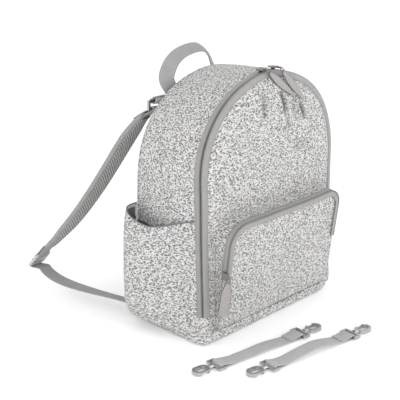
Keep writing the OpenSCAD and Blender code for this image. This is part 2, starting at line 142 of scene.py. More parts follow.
def ripple(x, y, seed, pitch=40.0, count=7):
    """Soft uneven waves: a sum of sines whose directions, lengths and phases come from a seed, from -1 to
    1."""
    rng = np.random.default_rng(seed)
    x, y = np.broadcast_arrays(np.asarray(x, float), np.asarray(y, float))
    total = np.zeros(x.shape)
    for turn, phase, size in zip(rng.uniform(0, math.pi, count), rng.uniform(0, 6.28, count),
        rng.uniform(0.6, 1.7, count)):
        total += np.sin((x * math.cos(turn) + y * math.sin(turn)) * 2 * math.pi / (pitch * size) + phase)
    return total / count


def bezier(points, t):
    """Cubic curve through its four control points at the shares t."""
    p = np.asarray(points, float)
    t = np.asarray(t, float)[:, None]
    return (1 - t) ** 3 * p[0] + 3 * (1 - t) ** 2 * t * p[1] + 3 * (1 - t) * t * t * p[2] + t**3 * p[3]


def smooth_line(points, count):
    """Catmull-Rom curve through all the given points, evenly spaced by length."""
    p = np.asarray(points, float)
    p = np.vstack([2 * p[0] - p[1], p, 2 * p[-1] - p[-2]])
    t = np.linspace(0, 1, 24, endpoint=False)[None, :, None]
    a, b, c, d = (p[i : len(p) - 3 + i, None, :] for i in range(4))
    curve = 0.5 * (2 * b + (c - a) * t + (2 * a - 5 * b + 4 * c - d) * t**2 + (3 * b - a - 3 * c + d) * t**3)
    curve = np.vstack([curve.reshape(-1, p.shape[1]), p[-2:-1]])
    return even(curve, count)


def lengths(path):
    """Distance along a path at each of its points."""
    return np.concatenate([[0], np.cumsum(np.linalg.norm(np.diff(path, axis=0), axis=1))])


def even(path, count):
    """The path with a given count of points, evenly spaced by length."""
    along = lengths(path)
    at = np.linspace(0, along[-1], count)
    return np.stack([np.interp(at, along, path[:, i]) for i in range(path.shape[1])], -1)


def unit(v):
    """Vectors scaled to length one."""
    return v / np.maximum(np.linalg.norm(v, axis=-1, keepdims=True), 1e-9)


def tangents(path):
    """Direction along a path at each point."""
    return unit(np.gradient(path, axis=0))


def facing(grid):
    """Unit normals of a grid of points: the cross product of its two directions."""
    return unit(np.cross(np.gradient(grid, axis=0), np.gradient(grid, axis=1)))


def settle(p):
    """The soft shell at rest: its crown sinks, most of all at the back, its back leans in, its right
    shoulder is fuller
    than its left, the upper part sits a little to the right, and the left front edge is drawn in above the
    foot."""
    x, y, z = p[:, 0], p[:, 1], p[:, 2]
    deep = np.clip((y + BACK) / (2 * BACK), 0, 1)
    crown = ease(190, 350, z) / (1 + (x / 98) ** 4)
    sink = crown * (9.0 * deep**0.8 + 3.0 * (1 - deep) * (1 - np.exp(-((x / 26) ** 2))))
    turn = np.degrees(np.arctan2(x, np.maximum(z - ARCH_Z, 1e-3)))
    full = 3.4 * np.exp(-(((turn - 52) / 24) ** 2)) * np.clip(np.hypot(x, z - ARCH_Z) / HALF, 0,
        1) ** 2 * (z > ARCH_Z)
    tuck = 4.2 * (1 - ease(215, 300, z)) * ease(18, 55, z) * np.clip(-x / HALF, 0,
        1) ** 2 * (1 - ease(0.0, 0.5, deep))
    return np.stack([
        x + 2.8 * ease(110, 290, z) + full * np.sin(np.radians(turn)) + tuck,
        y - 8.0 * deep * np.clip(z / TOP, 0, 1) ** 2,
        z - sink + full * np.cos(np.radians(turn)),
    ], -1)


# ---- Builders ----
def piece(name, points, faces, uv, body, slot, finish, replaces=(), sharp=None, closed=True, settled=True):
    """One mesh piece from arrays in millimetres: doubles merged, faces turned outwards, cloth coordinates
    kept in metres."""
    mesh = bpy.data.meshes.new(name)
    points = np.asarray(points, float).reshape(-1, 3)
    points = settle(points) if settled else points
    faces = np.asarray(faces, int)
    mesh.from_pydata((points * MM).tolist(), [], faces.tolist())
    layer = mesh.uv_layers.new(name="cloth")
    layer.data.foreach_set("uv",
        (np.asarray(uv, float).reshape(-1, 2)[faces.ravel()] * MM).astype(np.float32).ravel())
    work = bmesh.new()
    work.from_mesh(mesh)
    bmesh.ops.remove_doubles(work, verts=work.verts, dist=2e-6)
    bmesh.ops.dissolve_degenerate(work, edges=work.edges, dist=1e-7)
    if closed:
        bmesh.ops.recalc_face_normals(work, faces=work.faces)
    work.to_mesh(mesh)
    work.free()
    mesh.polygons.foreach_set("use_smooth", np.ones(len(mesh.polygons), bool))
    if sharp:
        mesh.set_sharp_from_angle(angle=math.radians(sharp))
    mesh.materials.append(finish)
    obj = bpy.data.objects.new(name, mesh)
    bpy.context.scene.collection.objects.link(obj)
    if replaces:
        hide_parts(*replaces)
    if isinstance(body, str):
        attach(obj, body)
    else:
        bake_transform(obj)
    return obj


def quads(rows, cols, start=0):
    """Faces of a grid whose points are numbered row by row."""
    i = (np.arange(rows - 1)[:, None] * cols + np.arange(cols - 1)[None, :]).ravel() + start
    return np.stack([i, i + cols, i + cols + 1, i + 1], -1)


def flat_uv(grid):
    """Cloth coordinates of a grid: mean distance along its columns and along its rows."""
    along = np.linalg.norm(np.diff(grid, axis=0), axis=2)
    across = np.linalg.norm(np.diff(grid, axis=1), axis=2)
    v = np.concatenate([np.zeros((1, grid.shape[1])), np.cumsum(along, 0)])
    u = np.concatenate([np.zeros((grid.shape[0], 1)), np.cumsum(across, 1)], 1)
    return np.stack([np.broadcast_to(u.mean(0), v.shape), np.broadcast_to(v.mean(1)[:, None], v.shape)], -1)


def slab(name, grid, thick, body, slot, finish, uv=None, side=1, ring=False, roll=0.45, **more):
    """Cloth of a given thickness: the grid is its outer face, the inner face lies a thickness behind it,
    and a rounded
    edge of one extra line joins the two all the way round. A ring has no edge where its ends meet."""
    grid = np.asarray(grid, float)
    rows, cols = grid.shape[:2]
    uv = flat_uv(grid) if uv is None else np.asarray(uv, float)
    n = facing(grid) * side
    thick = np.broadcast_to(np.asarray(thick, float), (rows, cols))[..., None]
    inner = grid - n * thick
    mid = (grid + inner) / 2
    out_lo, out_hi = unit(mid[:, 0] - mid[:, 1]), unit(mid[:, -1] - mid[:, -2])
    lo = mid[:, 0] + out_lo * thick[:, 0] * roll
    hi = mid[:, -1] + out_hi * thick[:, -1] * roll
    band = np.concatenate([grid, hi[:, None], inner[:, ::-1], lo[:, None], grid[:, :1]], 1)
    buv = np.concatenate([uv, uv[:, -1:], uv[:, ::-1], uv[:, :1], uv[:, :1]], 1)
    faces = [quads(rows, band.shape[1])]
    points, marks = [band.reshape(-1, 3)], [buv.reshape(-1, 2)]
    if not ring:
        start = band.shape[0] * band.shape[1]
        for row, step in ((0, 1), (-1, -1)):
            m = mid[row] + unit(mid[row] - mid[row + step]) * thick[row] * roll
            m[0], m[-1] = lo[row], hi[row]
            cap = np.stack([grid[row], m, inner[row]])
            faces.append(quads(3, cols, start))
            points.append(cap.reshape(-1, 3))
            marks.append(np.repeat(uv[row][None], 3, 0).reshape(-1, 2))
            start += 3 * cols
    return piece(name, np.concatenate(points), np.concatenate(faces), np.concatenate(marks), body, slot,
        finish, **more)


def sweep(name, path, across, up, section, body, slot, finish, ring=False, uv_scale=1.0, **more):
    """A closed section carried along a path: each point is path + a * across + b * up, and the ends close
    to a point."""
    path = np.asarray(path, float)
    section = np.asarray(section, float)
    if section.ndim == 2:
        section = np.repeat(section[None], len(path), 0)
    section = np.concatenate([section, section[:, :1]], 1)
    grid = path[:, None] + section[..., :1] * across[:, None] + section[..., 1:] * up[:, None]
    girth = np.concatenate([[0], np.cumsum(np.linalg.norm(np.diff(section.mean(0), axis=0), axis=1))])
    along = lengths(path)
    if not ring:
        first = np.repeat(grid[:1, :-1].mean(1, keepdims=True), grid.shape[1], 1)
        last = np.repeat(grid[-1:, :-1].mean(1, keepdims=True), grid.shape[1], 1)
        grid = np.concatenate([first, grid, last])
        along = np.concatenate([[0], along, along[-1:]])
    u, v = np.meshgrid(girth * uv_scale, along * uv_scale)
    return piece(name, grid, quads(*grid.shape[:2]), np.stack([u, v], -1), body, slot, finish, **more)


def oblong(width, height, radius, steps=3):
    """Section of a flat band with round corners."""
    radius = min(radius, width / 2 - 1e-3, height / 2 - 1e-3)
    turn = np.linspace(0, math.pi / 2, steps + 1)
    parts = []
    for k, (sx, sy) in enumerate(((1, 1), (-1, 1), (-1, -1), (1, -1))):
        a = turn + k * math.pi / 2
        parts.append(np.stack([sx * (width / 2 - radius) + radius * np.cos(a),
            sy * (height / 2 - radius) + radius * np.sin(a)], -1))
    return np.concatenate(parts)


def circle(radius, count=10):
    """Round section."""
    a = np.linspace(0, 2 * math.pi, count, endpoint=False)
    return np.stack([radius * np.cos(a), radius * np.sin(a)], -1)


def many(name, shape, shape_faces, origins, ax, ay, az, body, slot, finish, **more):
    """Copies of one small shape in one mesh: each point is origin + a * ax + b * ay + c * az."""
    shape = np.asarray(shape, float)
    pts = origins[:, None] + shape[None, :, :1] * ax[:, None] + shape[None, :, 1:2] * ay[:,
        None] + shape[None, :, 2:] * az[:, None]
    faces = (np.asarray(shape_faces)[None] + (np.arange(len(origins)) * len(shape))[:, None, None]).reshape(
        -1, 4)
    uv = np.broadcast_to(shape[None, :, :2], pts.shape[:2] + (2,))
    return piece(name, pts, faces, uv, body, slot, finish, **more)


def bead(length, width, height, dip=0.0, sides=6):
    """A stitch: four rings of points along its length, closed to a point at both ends, which dip into the
    cloth."""
    x = np.array([-0.5, -0.38, 0.38, 0.5]) * length
    r = np.array([0.0, 1.0, 1.0, 0.0])
    a = np.linspace(0, 2 * math.pi, sides + 1)
    pts = np.stack(
        [np.repeat(x[:, None], sides + 1, 1), r[:, None] * np.cos(a) * width / 2,
        r[:, None] * np.sin(a) * height / 2 - dip * (np.abs(x[:, None] / length) * 2) ** 3], -1
    )
    return pts.reshape(-1, 3), quads(4, sides + 1)


def stitches(name, path, normal, body, pitch=3.4, length=2.5, width=0.55, finish=None, lift=0.1,
    slot="print_fabric", **more):
    """A line of sewn stitches: beads set at an even pitch along a path, lying on the cloth that faces
    normal."""
    path = np.asarray(path, float)
    normal = np.broadcast_to(np.asarray(normal, float), path.shape)
    along = lengths(path)
    count = max(2, int(along[-1] / pitch))
    at = (np.arange(count) + 0.5) * along[-1] / count
    pick = lambda a: np.stack([np.interp(at, along, a[:, i]) for i in range(3)], -1)
    o, n = pick(path), unit(pick(normal))
    t = unit(pick(tangents(path)))
    n = unit(n - t * np.sum(n * t, -1, keepdims=True))
    shape, faces = bead(length, width, width * 0.8, 0.22)
    return many(name, shape, faces, o + n * lift, t, np.cross(n, t), n, body, slot, finish or THREAD, **more)


def puff(points, faces, pinned, cap, pressure=4.0, slack=0.0, frames=20):
    """Cloth under pressure from inside: the free points move outwards as fabric does, by no more than the
    cap, and the
    pinned ones stay. Points in millimetres in and out."""
    mesh = bpy.data.meshes.new("puff")
    mesh.from_pydata((points * MM).tolist(), [], faces.tolist())
    work = bmesh.new()
    work.from_mesh(mesh)
    tag = work.verts.layers.int.new("row")
    for i, v in enumerate(work.verts):
        v[tag] = i
    bmesh.ops.remove_doubles(work, verts=work.verts, dist=2e-6)
    bmesh.ops.recalc_face_normals(work, faces=work.faces)
    rows = np.array([v[tag] for v in work.verts])
    work.to_mesh(mesh)
    work.free()
    obj = bpy.data.objects.new("puff", mesh)
    bpy.context.scene.collection.objects.link(obj)
    group = obj.vertex_groups.new(name="held")
    for level in (0.25, 0.5, 0.75, 1.0):
        group.add(np.nonzero(pinned[rows] >= level - 1e-6)[0].tolist(), level, "REPLACE")
    cloth = obj.modifiers.new("cloth", "CLOTH")
    s = cloth.settings
    s.vertex_group_mass = "held"
    s.quality = 6
    s.mass = 0.25
    s.use_pressure = True
    s.uniform_pressure_force = pressure
    s.shrink_min = -slack
    s.tension_stiffness = s.compression_stiffness = 20
    s.bending_stiffness = 0.6
    s.effector_weights.gravity = 0
    scene = bpy.context.scene
    for f in range(1, frames + 1):
        scene.frame_set(f)
    shown = obj.evaluated_get(bpy.context.evaluated_depsgraph_get()).to_mesh()
    co = np.zeros(len(shown.vertices) * 3)
    shown.vertices.foreach_get("co", co)
    moved = co.reshape(-1, 3) / MM - points[rows]
    size = np.linalg.norm(moved, axis=1, keepdims=True)
    moved *= np.minimum(1, cap / np.maximum(size, 1e-9))
    scene.frame_set(1)
    bpy.data.objects.remove(obj)
    # every doubled point takes the move of the point that it merged with
    keys = {tuple(k): m for k, m in zip(np.round(points[rows], 2).tolist(), moved)}
    return points + np.array([keys.get(tuple(k), np.zeros(3)) for k in np.round(points, 2).tolist()])


# ---- Finishes ----
def finish(name, **values):
    """A new material and its node tree, with the shader's plain sockets set."""
    mat = bpy.data.materials.new(name)
    mat.use_nodes = True
    shader = mat.node_tree.nodes["Principled BSDF"]
    for key, value in values.items():
        shader.inputs[key.replace("_", " ")].default_value = value
    return mat, mat.node_tree, shader


def add(tree, kind, inputs=None, **props):
    """A node with its properties set and its inputs linked or given a value."""
    node = tree.nodes.new("ShaderNode" + kind)
    for key, value in props.items():
        setattr(node, key, value)
    for key, value in (inputs or {}).items():
        socket = node.inputs[key]
        if isinstance(value, bpy.types.NodeSocket):
            tree.links.new(value, socket)
        else:
            socket.default_value = value
    return node


def math_node(tree, operation, a, b=0.5, c=None):
    """A math node's result."""
    inputs = {0: a, 1: b}
    if c is not None:
        inputs[2] = c
    return add(tree, "Math", inputs, operation=operation).outputs[0]


def cloth_uv(tree, scale=(1, 1, 1), turn=0.0, shift=(0, 0, 0)):
    """The piece's own cloth coordinates in metres, turned and scaled."""
    uv = add(tree, "UVMap", uv_map="cloth").outputs["UV"]
    return add(tree, "Mapping",
        {"Vector": uv, "Rotation": (0, 0, turn), "Scale": scale, "Location": shift}).outputs["Vector"]


def colour_mix(tree, share, a, b, blend="MIX"):
    """Mix of two colours or links by a share."""
    node = tree.nodes.new("ShaderNodeMix")
    node.data_type = "RGBA"
    node.blend_type = blend
    for socket, value in ((node.inputs[0], share), (node.inputs[6], a), (node.inputs[7], b)):
        if isinstance(value, bpy.types.NodeSocket):
            tree.links.new(value, socket)
        else:
            socket.default_value = value
    return node.outputs[2]


def grey(v, warm=0.0):
    """A grey in linear light, a little warm or cool."""
    return (v * (1 + warm), v, v * (1 - warm), 1)


def bump(tree, shader, height, strength, distance, below=None):
    """A bump node on the shader's normal."""
    inputs = {"Height": height, "Strength": strength, "Distance": distance}
    if below is not None:
        inputs["Normal"] = below
    out = add(tree, "Bump", inputs).outputs["Normal"]
    tree.links.new(out, shader.inputs["Normal"])
    return out


def weave(tree, pitch, uv_turn=0.0):
    """Plain weave: the higher of two crossing sets of yarns, each a wave across the cloth."""
    uv = cloth_uv(tree, turn=uv_turn)
    scale = 0.314 / (pitch * MM)
    warp = add(tree, "TexWave",
        {"Vector": uv, "Scale": scale, "Distortion": 0.6, "Detail": 1.0, "Detail Scale": 2.0},
        bands_direction="X")
    weft = add(tree, "TexWave",
        {"Vector": uv, "Scale": scale, "Distortion": 0.6, "Detail": 1.0, "Detail Scale": 2.0},
        bands_direction="Y")
    return math_node(tree, "MAXIMUM", warp.outputs["Fac"], weft.outputs["Fac"])


def print_cloth(name, ground=0.53, dark=0.10, pale=0.27):
    """Off-white polyester with a dense small sprig print: dark leaves at three slants over paler ones at
    two, and thin stems."""
    mat, tree, shader = finish(name, Roughness=0.82, Sheen_Weight=0.12, Sheen_Roughness=0.5)

    def leaves(layers):
        """Long cells, each filled out to its own size; the fullest layer wins."""
        result = None
        for turn, long, wide, size, shift in layers:
            uv = cloth_uv(tree, (1000 / long, 1000 / wide, 1), turn, (shift, shift * 0.7, 0))
            cell = add(tree, "TexVoronoi", {"Vector": uv, "Scale": 1.0, "Randomness": 0.9},
                voronoi_dimensions="2D")
            pick = add(tree, "SeparateColor", {0: cell.outputs["Color"]}).outputs[0]
            edge_and_shadow = math_node(tree, "SUBTRACT", math_node(tree, "MULTIPLY_ADD", pick, 0.22, size - 0.11),
                cell.outputs["Distance"])
            mask = add(tree, "MapRange", {"Value": edge_and_shadow, "From Min": -0.02, "From Max": 0.03}).outputs[0]
            result = mask if result is None else math_node(tree, "MAXIMUM", result, mask)
        return result

    big = leaves(((0.35, 8.8, 4.8, 0.22, 1.3), (2.05, 9.4, 5.0, 0.21, 4.1)))
    small = leaves(((1.25, 6.0, 3.5, 0.20, 2.7), (2.75, 5.7, 3.4, 0.20, 5.9), (0.7, 4.7, 3.7, 0.17, 7.7)))
    uv = cloth_uv(tree, (1000 / 7.5, 1000 / 7.5, 1), 0.5)
    wander = add(tree, "TexNoise", {"Vector": uv, "Scale": 1.3, "Detail": 1.0},
        noise_dimensions="2D").outputs["Color"]
    bent = add(tree, "VectorMath", {0: uv, 1: wander}, operation="ADD").outputs[0]
    stem = add(tree, "TexVoronoi", {"Vector": bent, "Scale": 1.0}, voronoi_dimensions="2D",
        feature="DISTANCE_TO_EDGE").outputs["Distance"]
    stems = add(tree, "MapRange", {"Value": stem, "From Min": 0.045, "From Max": 0.018}).outputs[0]
    tone = add(tree, "TexNoise", {"Vector": cloth_uv(tree, (170, 170, 1)), "Scale": 1.0, "Detail": 2.0},
        noise_dimensions="2D").outputs["Fac"]
    light = add(tree, "MapRange", {"Value": tone, "From Min": 0.35, "From Max": 0.65}).outputs[0]
    wash = add(tree, "TexNoise", {"Vector": cloth_uv(tree, (30, 30, 1)), "Scale": 1.0, "Detail": 3.0},
        noise_dimensions="2D").outputs["Fac"]
    base = colour_mix(tree, wash, grey(ground * 0.95, 0.016), grey(ground * 1.05, 0.010))
    washed = colour_mix(tree, math_node(tree, "MULTIPLY", big, 0.85), base,
        colour_mix(tree, light, grey(pale * 0.85, 0.012), grey(pale * 1.35, 0.012)))
    veined = colour_mix(tree, math_node(tree, "MULTIPLY", stems, 0.38), washed, grey(dark * 1.6, 0.015))
    colour = colour_mix(tree, small, veined,
        colour_mix(tree, light, grey(dark * 0.75, 0.01), grey(dark * 1.7, 0.02)))
    # painted shade: the panel's crease attribute mixes the print towards near black where its creases close
    # up
    worn = add(tree, "Attribute", {}, attribute_name="worn").outputs["Fac"]
    tree.links.new(colour_mix(tree, math_node(tree, "MULTIPLY", worn, 0.85), colour, grey(0.08, 0.02)),
        shader.inputs["Base Color"])
    bump(tree, shader, weave(tree, 0.55), 0.35, 0.0002)
    return mat


def woven_band(name, tone, rib=1.1, warm=0.0, rough=0.78):
    """Ribbed webbing or tape: slanted ribs that change slant across the band, with fine yarns over them."""
    mat, tree, shader = finish(name, Roughness=rough, Sheen_Weight=0.15, Sheen_Roughness=0.45)
    uv = cloth_uv(tree)
    scale = 0.314 / (rib * MM)
    ribs = add(tree, "TexWave",
        {"Vector": uv, "Scale": scale, "Distortion": 1.2, "Detail": 2.0, "Detail Scale": 3.0},
        bands_direction="Y").outputs["Fac"]
    lines = add(tree, "TexWave", {"Vector": uv, "Scale": scale * 0.8, "Distortion": 0.8, "Detail": 1.0},
        bands_direction="X").outputs["Fac"]
    cloudy = add(tree, "TexNoise", {"Vector": uv, "Scale": 70.0, "Detail": 4.0, "Roughness": 0.6},
        noise_dimensions="2D").outputs["Fac"]
    yarn = math_node(tree, "MULTIPLY_ADD", ribs, 0.6, math_node(tree, "MULTIPLY", lines, 0.4))
    light = colour_mix(tree, yarn, grey(tone * 0.80, warm), grey(tone * 1.12, warm))
    colour = colour_mix(tree,
        add(tree, "MapRange",
        {"Value": cloudy, "From Min": 0.3, "From Max": 0.7, "To Min": 0.0, "To Max": 0.28}).outputs[0],
        light, grey(tone * 1.3, warm))
    tree.links.new(colour, shader.inputs["Base Color"])
    bump(tree, shader, yarn, 0.6, 0.0004)
    return mat


def air_mesh(name, tone=0.33):
    """Open spacer mesh: slanting raised ribs with a row of small eyelets in each valley."""
    mat, tree, shader = finish(name, Roughness=0.85, Sheen_Weight=0.1)
    slant = math.radians(52)
    uv = cloth_uv(tree, turn=slant)
    ribs = add(tree, "TexWave",
        {"Vector": uv, "Scale": 0.314 / (4.0 * MM), "Distortion": 0.4, "Detail": 1.0},
        bands_direction="X").outputs["Fac"]
    holes = add(tree, "TexVoronoi",
        {"Vector": cloth_uv(tree, (500, 500, 1), slant), "Scale": 1.0, "Randomness": 0.12},
        voronoi_dimensions="2D").outputs["Distance"]
    eyelets = add(tree, "MapRange", {"Value": holes, "From Min": 0.42, "From Max": 0.24}).outputs[0]
    valley = add(tree, "MapRange", {"Value": ribs, "From Min": 0.65, "From Max": 0.15}).outputs[0]
    body = colour_mix(tree, ribs, grey(tone * 0.58, 0.03), grey(tone * 1.42, 0.02))
    # painted shade: the eyelets are real holes, and their near-black colour, strongest in the valleys between
    # the ribs, is painted shade inside them
    colour = colour_mix(tree,
        math_node(tree, "MULTIPLY", eyelets, math_node(tree, "MULTIPLY_ADD", valley, 0.6, 0.2)), body,
        grey(tone * 0.25, 0.0))
    tree.links.new(colour, shader.inputs["Base Color"])
    height = math_node(tree, "SUBTRACT", ribs, math_node(tree, "MULTIPLY", eyelets, 0.5))
    bump(tree, shader, height, 0.9, 0.0010)
    return mat


def plain_cloth(name, colour, pitch=0.5, rough=0.8):
    """Thin plain weave with a slightly uneven dye."""
    mat, tree, shader = finish(name, Roughness=rough, Sheen_Weight=0.15)
    cloudy = add(tree, "TexNoise", {"Vector": cloth_uv(tree), "Scale": 45.0, "Detail": 4.0},
        noise_dimensions="2D").outputs["Fac"]
    yarn = weave(tree, pitch)
    base = colour_mix(tree, cloudy, tuple(c * 0.82 for c in colour) + (1,),
        tuple(c * 1.18 for c in colour) + (1,))
    tone = colour_mix(tree, math_node(tree, "MULTIPLY", yarn, 0.35), base,
        tuple(min(1, c * 1.5) for c in colour) + (1,))
    tree.links.new(tone, shader.inputs["Base Color"])
    bump(tree, shader, yarn, 0.4, 0.0002)
    return mat


def leather(name, colour):
    """Smooth leather: fine pebble grain, soft mottling and lighter rubbed spots."""
    mat, tree, shader = finish(name, Roughness=0.46, Coat_Weight=0.06, Coat_Roughness=0.4)
    at = add(tree, "TexCoord").outputs["Object"]
    grain = add(tree, "TexVoronoi", {"Vector": at, "Scale": 1500.0, "Randomness": 1.0},
        feature="DISTANCE_TO_EDGE").outputs["Distance"]
    cloud = add(tree, "TexNoise",
        {"Vector": at, "Scale": 160.0, "Detail": 5.0, "Roughness": 0.6}).outputs["Fac"]
    a, b = tuple(c * 0.85 for c in colour) + (1,), tuple(c * 1.12 for c in colour) + (1,)
    tree.links.new(colour_mix(tree, cloud, a, b), shader.inputs["Base Color"])
    tree.links.new(add(tree, "MapRange",
        {"Value": cloud, "From Min": 0.3, "From Max": 0.7, "To Min": 0.38, "To Max": 0.56}).outputs[0],
        shader.inputs["Roughness"])
    bump(tree, shader, grain, 0.3, 0.0001)
    return mat


def cast_metal(name, colour, rough=(0.24, 0.42), fine=700.0):
    """Satin plated metal: roughness and tone drift over the surface, with fine rub marks."""
    mat, tree, shader = finish(name, Metallic=1.0)
    at = add(tree, "TexCoord").outputs["Object"]
    drift = add(tree, "TexNoise",
        {"Vector": at, "Scale": 90.0, "Detail": 5.0, "Roughness": 0.6}).outputs["Fac"]
    rubs = add(tree, "TexNoise",
        {"Vector": add(tree, "Mapping", {"Vector": at, "Scale": (1, 1, 6)}).outputs["Vector"],
        "Scale": fine, "Detail": 3.0}).outputs["Fac"]
    tree.links.new(colour_mix(tree, drift, tuple(c * 0.88 for c in colour) + (1,),
        tuple(c * 1.08 for c in colour) + (1,)), shader.inputs["Base Color"])
    tree.links.new(add(tree, "MapRange",
        {"Value": drift, "From Min": 0.3, "From Max": 0.7, "To Min": rough[0],
        "To Max": rough[1]}).outputs[0], shader.inputs["Roughness"])
    bump(tree, shader, rubs, 0.12, 0.0001)
    return mat


def moulded(name, tone, rough=0.42):
    """Moulded plastic: very fine spark texture and slight sheen changes."""
    mat, tree, shader = finish(name, Roughness=rough)
    at = add(tree, "TexCoord").outputs["Object"]
    grain = add(tree, "TexNoise", {"Vector": at, "Scale": 1400.0, "Detail": 2.0}).outputs["Fac"]
    drift = add(tree, "TexNoise", {"Vector": at, "Scale": 60.0, "Detail": 3.0}).outputs["Fac"]
    tree.links.new(colour_mix(tree, drift, grey(tone * 0.92, 0.01), grey(tone * 1.08, 0.01)),
        shader.inputs["Base Color"])
    tree.links.new(add(tree, "MapRange",
        {"Value": drift, "To Min": rough - 0.08, "To Max": rough + 0.12}).outputs[0],
        shader.inputs["Roughness"])
    bump(tree, shader, grain, 0.15, 0.0001)
    return mat


PRINT = print_cloth("sprig_print_cloth")
PRINT_EDGE = print_cloth("sprig_print_cloth_binding", 0.48, 0.10)
TAPE_DARK = woven_band("zip_tape_side", 0.25, 0.7, 0.014)
TAPE_LIGHT = woven_band("zip_tape_panel", 0.265, 0.7, 0.02)
COIL = moulded("zip_coil_nylon", 0.20, 0.38)
WEBBING = woven_band("grey_webbing", 0.265, 1.3, 0.004)
WEBBING_PALE = woven_band("stroller_webbing_weave", 0.37, 1.2, 0.004)
BINDING = woven_band("strap_binding_weave", 0.25, 0.9, 0.01)
STRAP_CLOTH = woven_band("strap_cover_weave", 0.24, 0.8, 0.01)
MESH = air_mesh("spacer_mesh")
LINING = plain_cloth("slate_lining", (0.060, 0.062, 0.075))
LINING_PALE = plain_cloth("pocket_rim_facing", (0.11, 0.11, 0.125))
THREAD = plain_cloth("sewing_thread", (0.36, 0.352, 0.355), 0.3)
# painted shade: near-black cord colour for the shadow line along the base seam
SEAM = plain_cloth("seam_shade_cord", (0.13, 0.128, 0.13), 0.3)
THREAD_DARK = plain_cloth("sewing_thread_grey", (0.20, 0.195, 0.20), 0.3)
NICKEL = cast_metal("satin_nickel", (0.45, 0.445, 0.435))
NICKEL_DARK = cast_metal("smoked_nickel", (0.20, 0.195, 0.19), (0.22, 0.36))
PLASTIC = moulded("ladder_lock_grey", 0.42)
TAB = leather("pull_tab_leather", (0.265, 0.247, 0.248))
# near-black leather for the pulls' edges: partly their edge paint, partly painted shadow round the pulls
TAB_EDGE_AND_SHADOW = leather("pull_tab_edge_paint", (0.035, 0.032, 0.033))
FOAM = plain_cloth("foam_backing_cloth", (0.09, 0.09, 0.10))


# ---- Bag shell ----
def arch(s, foot):
    """Outline of the bag at arc length s from its left foot: straight up, half circle, straight down. Gives
    x, z and the outward direction."""
    leg = ARCH_Z - foot
    a = np.clip((s - leg) / HALF, 0, math.pi)
    down = np.maximum(s - leg - math.pi * HALF, 0)
    x = -HALF * np.cos(a)
    z = ARCH_Z + HALF * np.sin(a) + np.minimum(s - leg, 0) - down
    return x, z, -np.cos(a), np.sin(a)


def arch_steps(foot, count):
    """Arc lengths from one foot to the other."""
    return np.linspace(0, 2 * (ARCH_Z - foot) + math.pi * HALF, count)


def edge_band(foot, count, out, depth):
    """Grid along the arch in the front frame: out is the distance outside the outline, depth the front
    frame's y."""
    s = arch_steps(foot, count)
    x, z, nx, nz = (v[:, None] for v in arch(s, foot))
    out, depth = np.asarray(out, float), np.asarray(depth, float)
    grid = front(x + out * nx, depth, z + out * nz)
    u, v = np.meshgrid(np.concatenate([[0],
        np.cumsum(np.hypot(np.diff(np.atleast_2d(out)[0]), np.diff(np.atleast_2d(depth)[0])))]), s)
    return grid, np.stack([u, v], -1)


def side_wall(foot, count, shares, out, front_y, back_y):
    """Grid along the arch from a line in the front frame to a plane at the back, shares 0 to 1 between
    them."""
    s = arch_steps(foot, count)
    x, z, nx, nz = (v[:, None] for v in arch(s, foot))
    out = np.broadcast_to(np.asarray(out, float), (count, len(shares)))
    a = front(x + out * nx, front_y, z + out * nz)
    b = bag(x + out * nx, back_y, z + out * nz)
    grid = a + (b - a) * np.asarray(shares)[None, :, None]
    u, v = np.meshgrid(np.asarray(shares) * (back_y + 55), s)
    return grid, np.stack([u, v], -1)


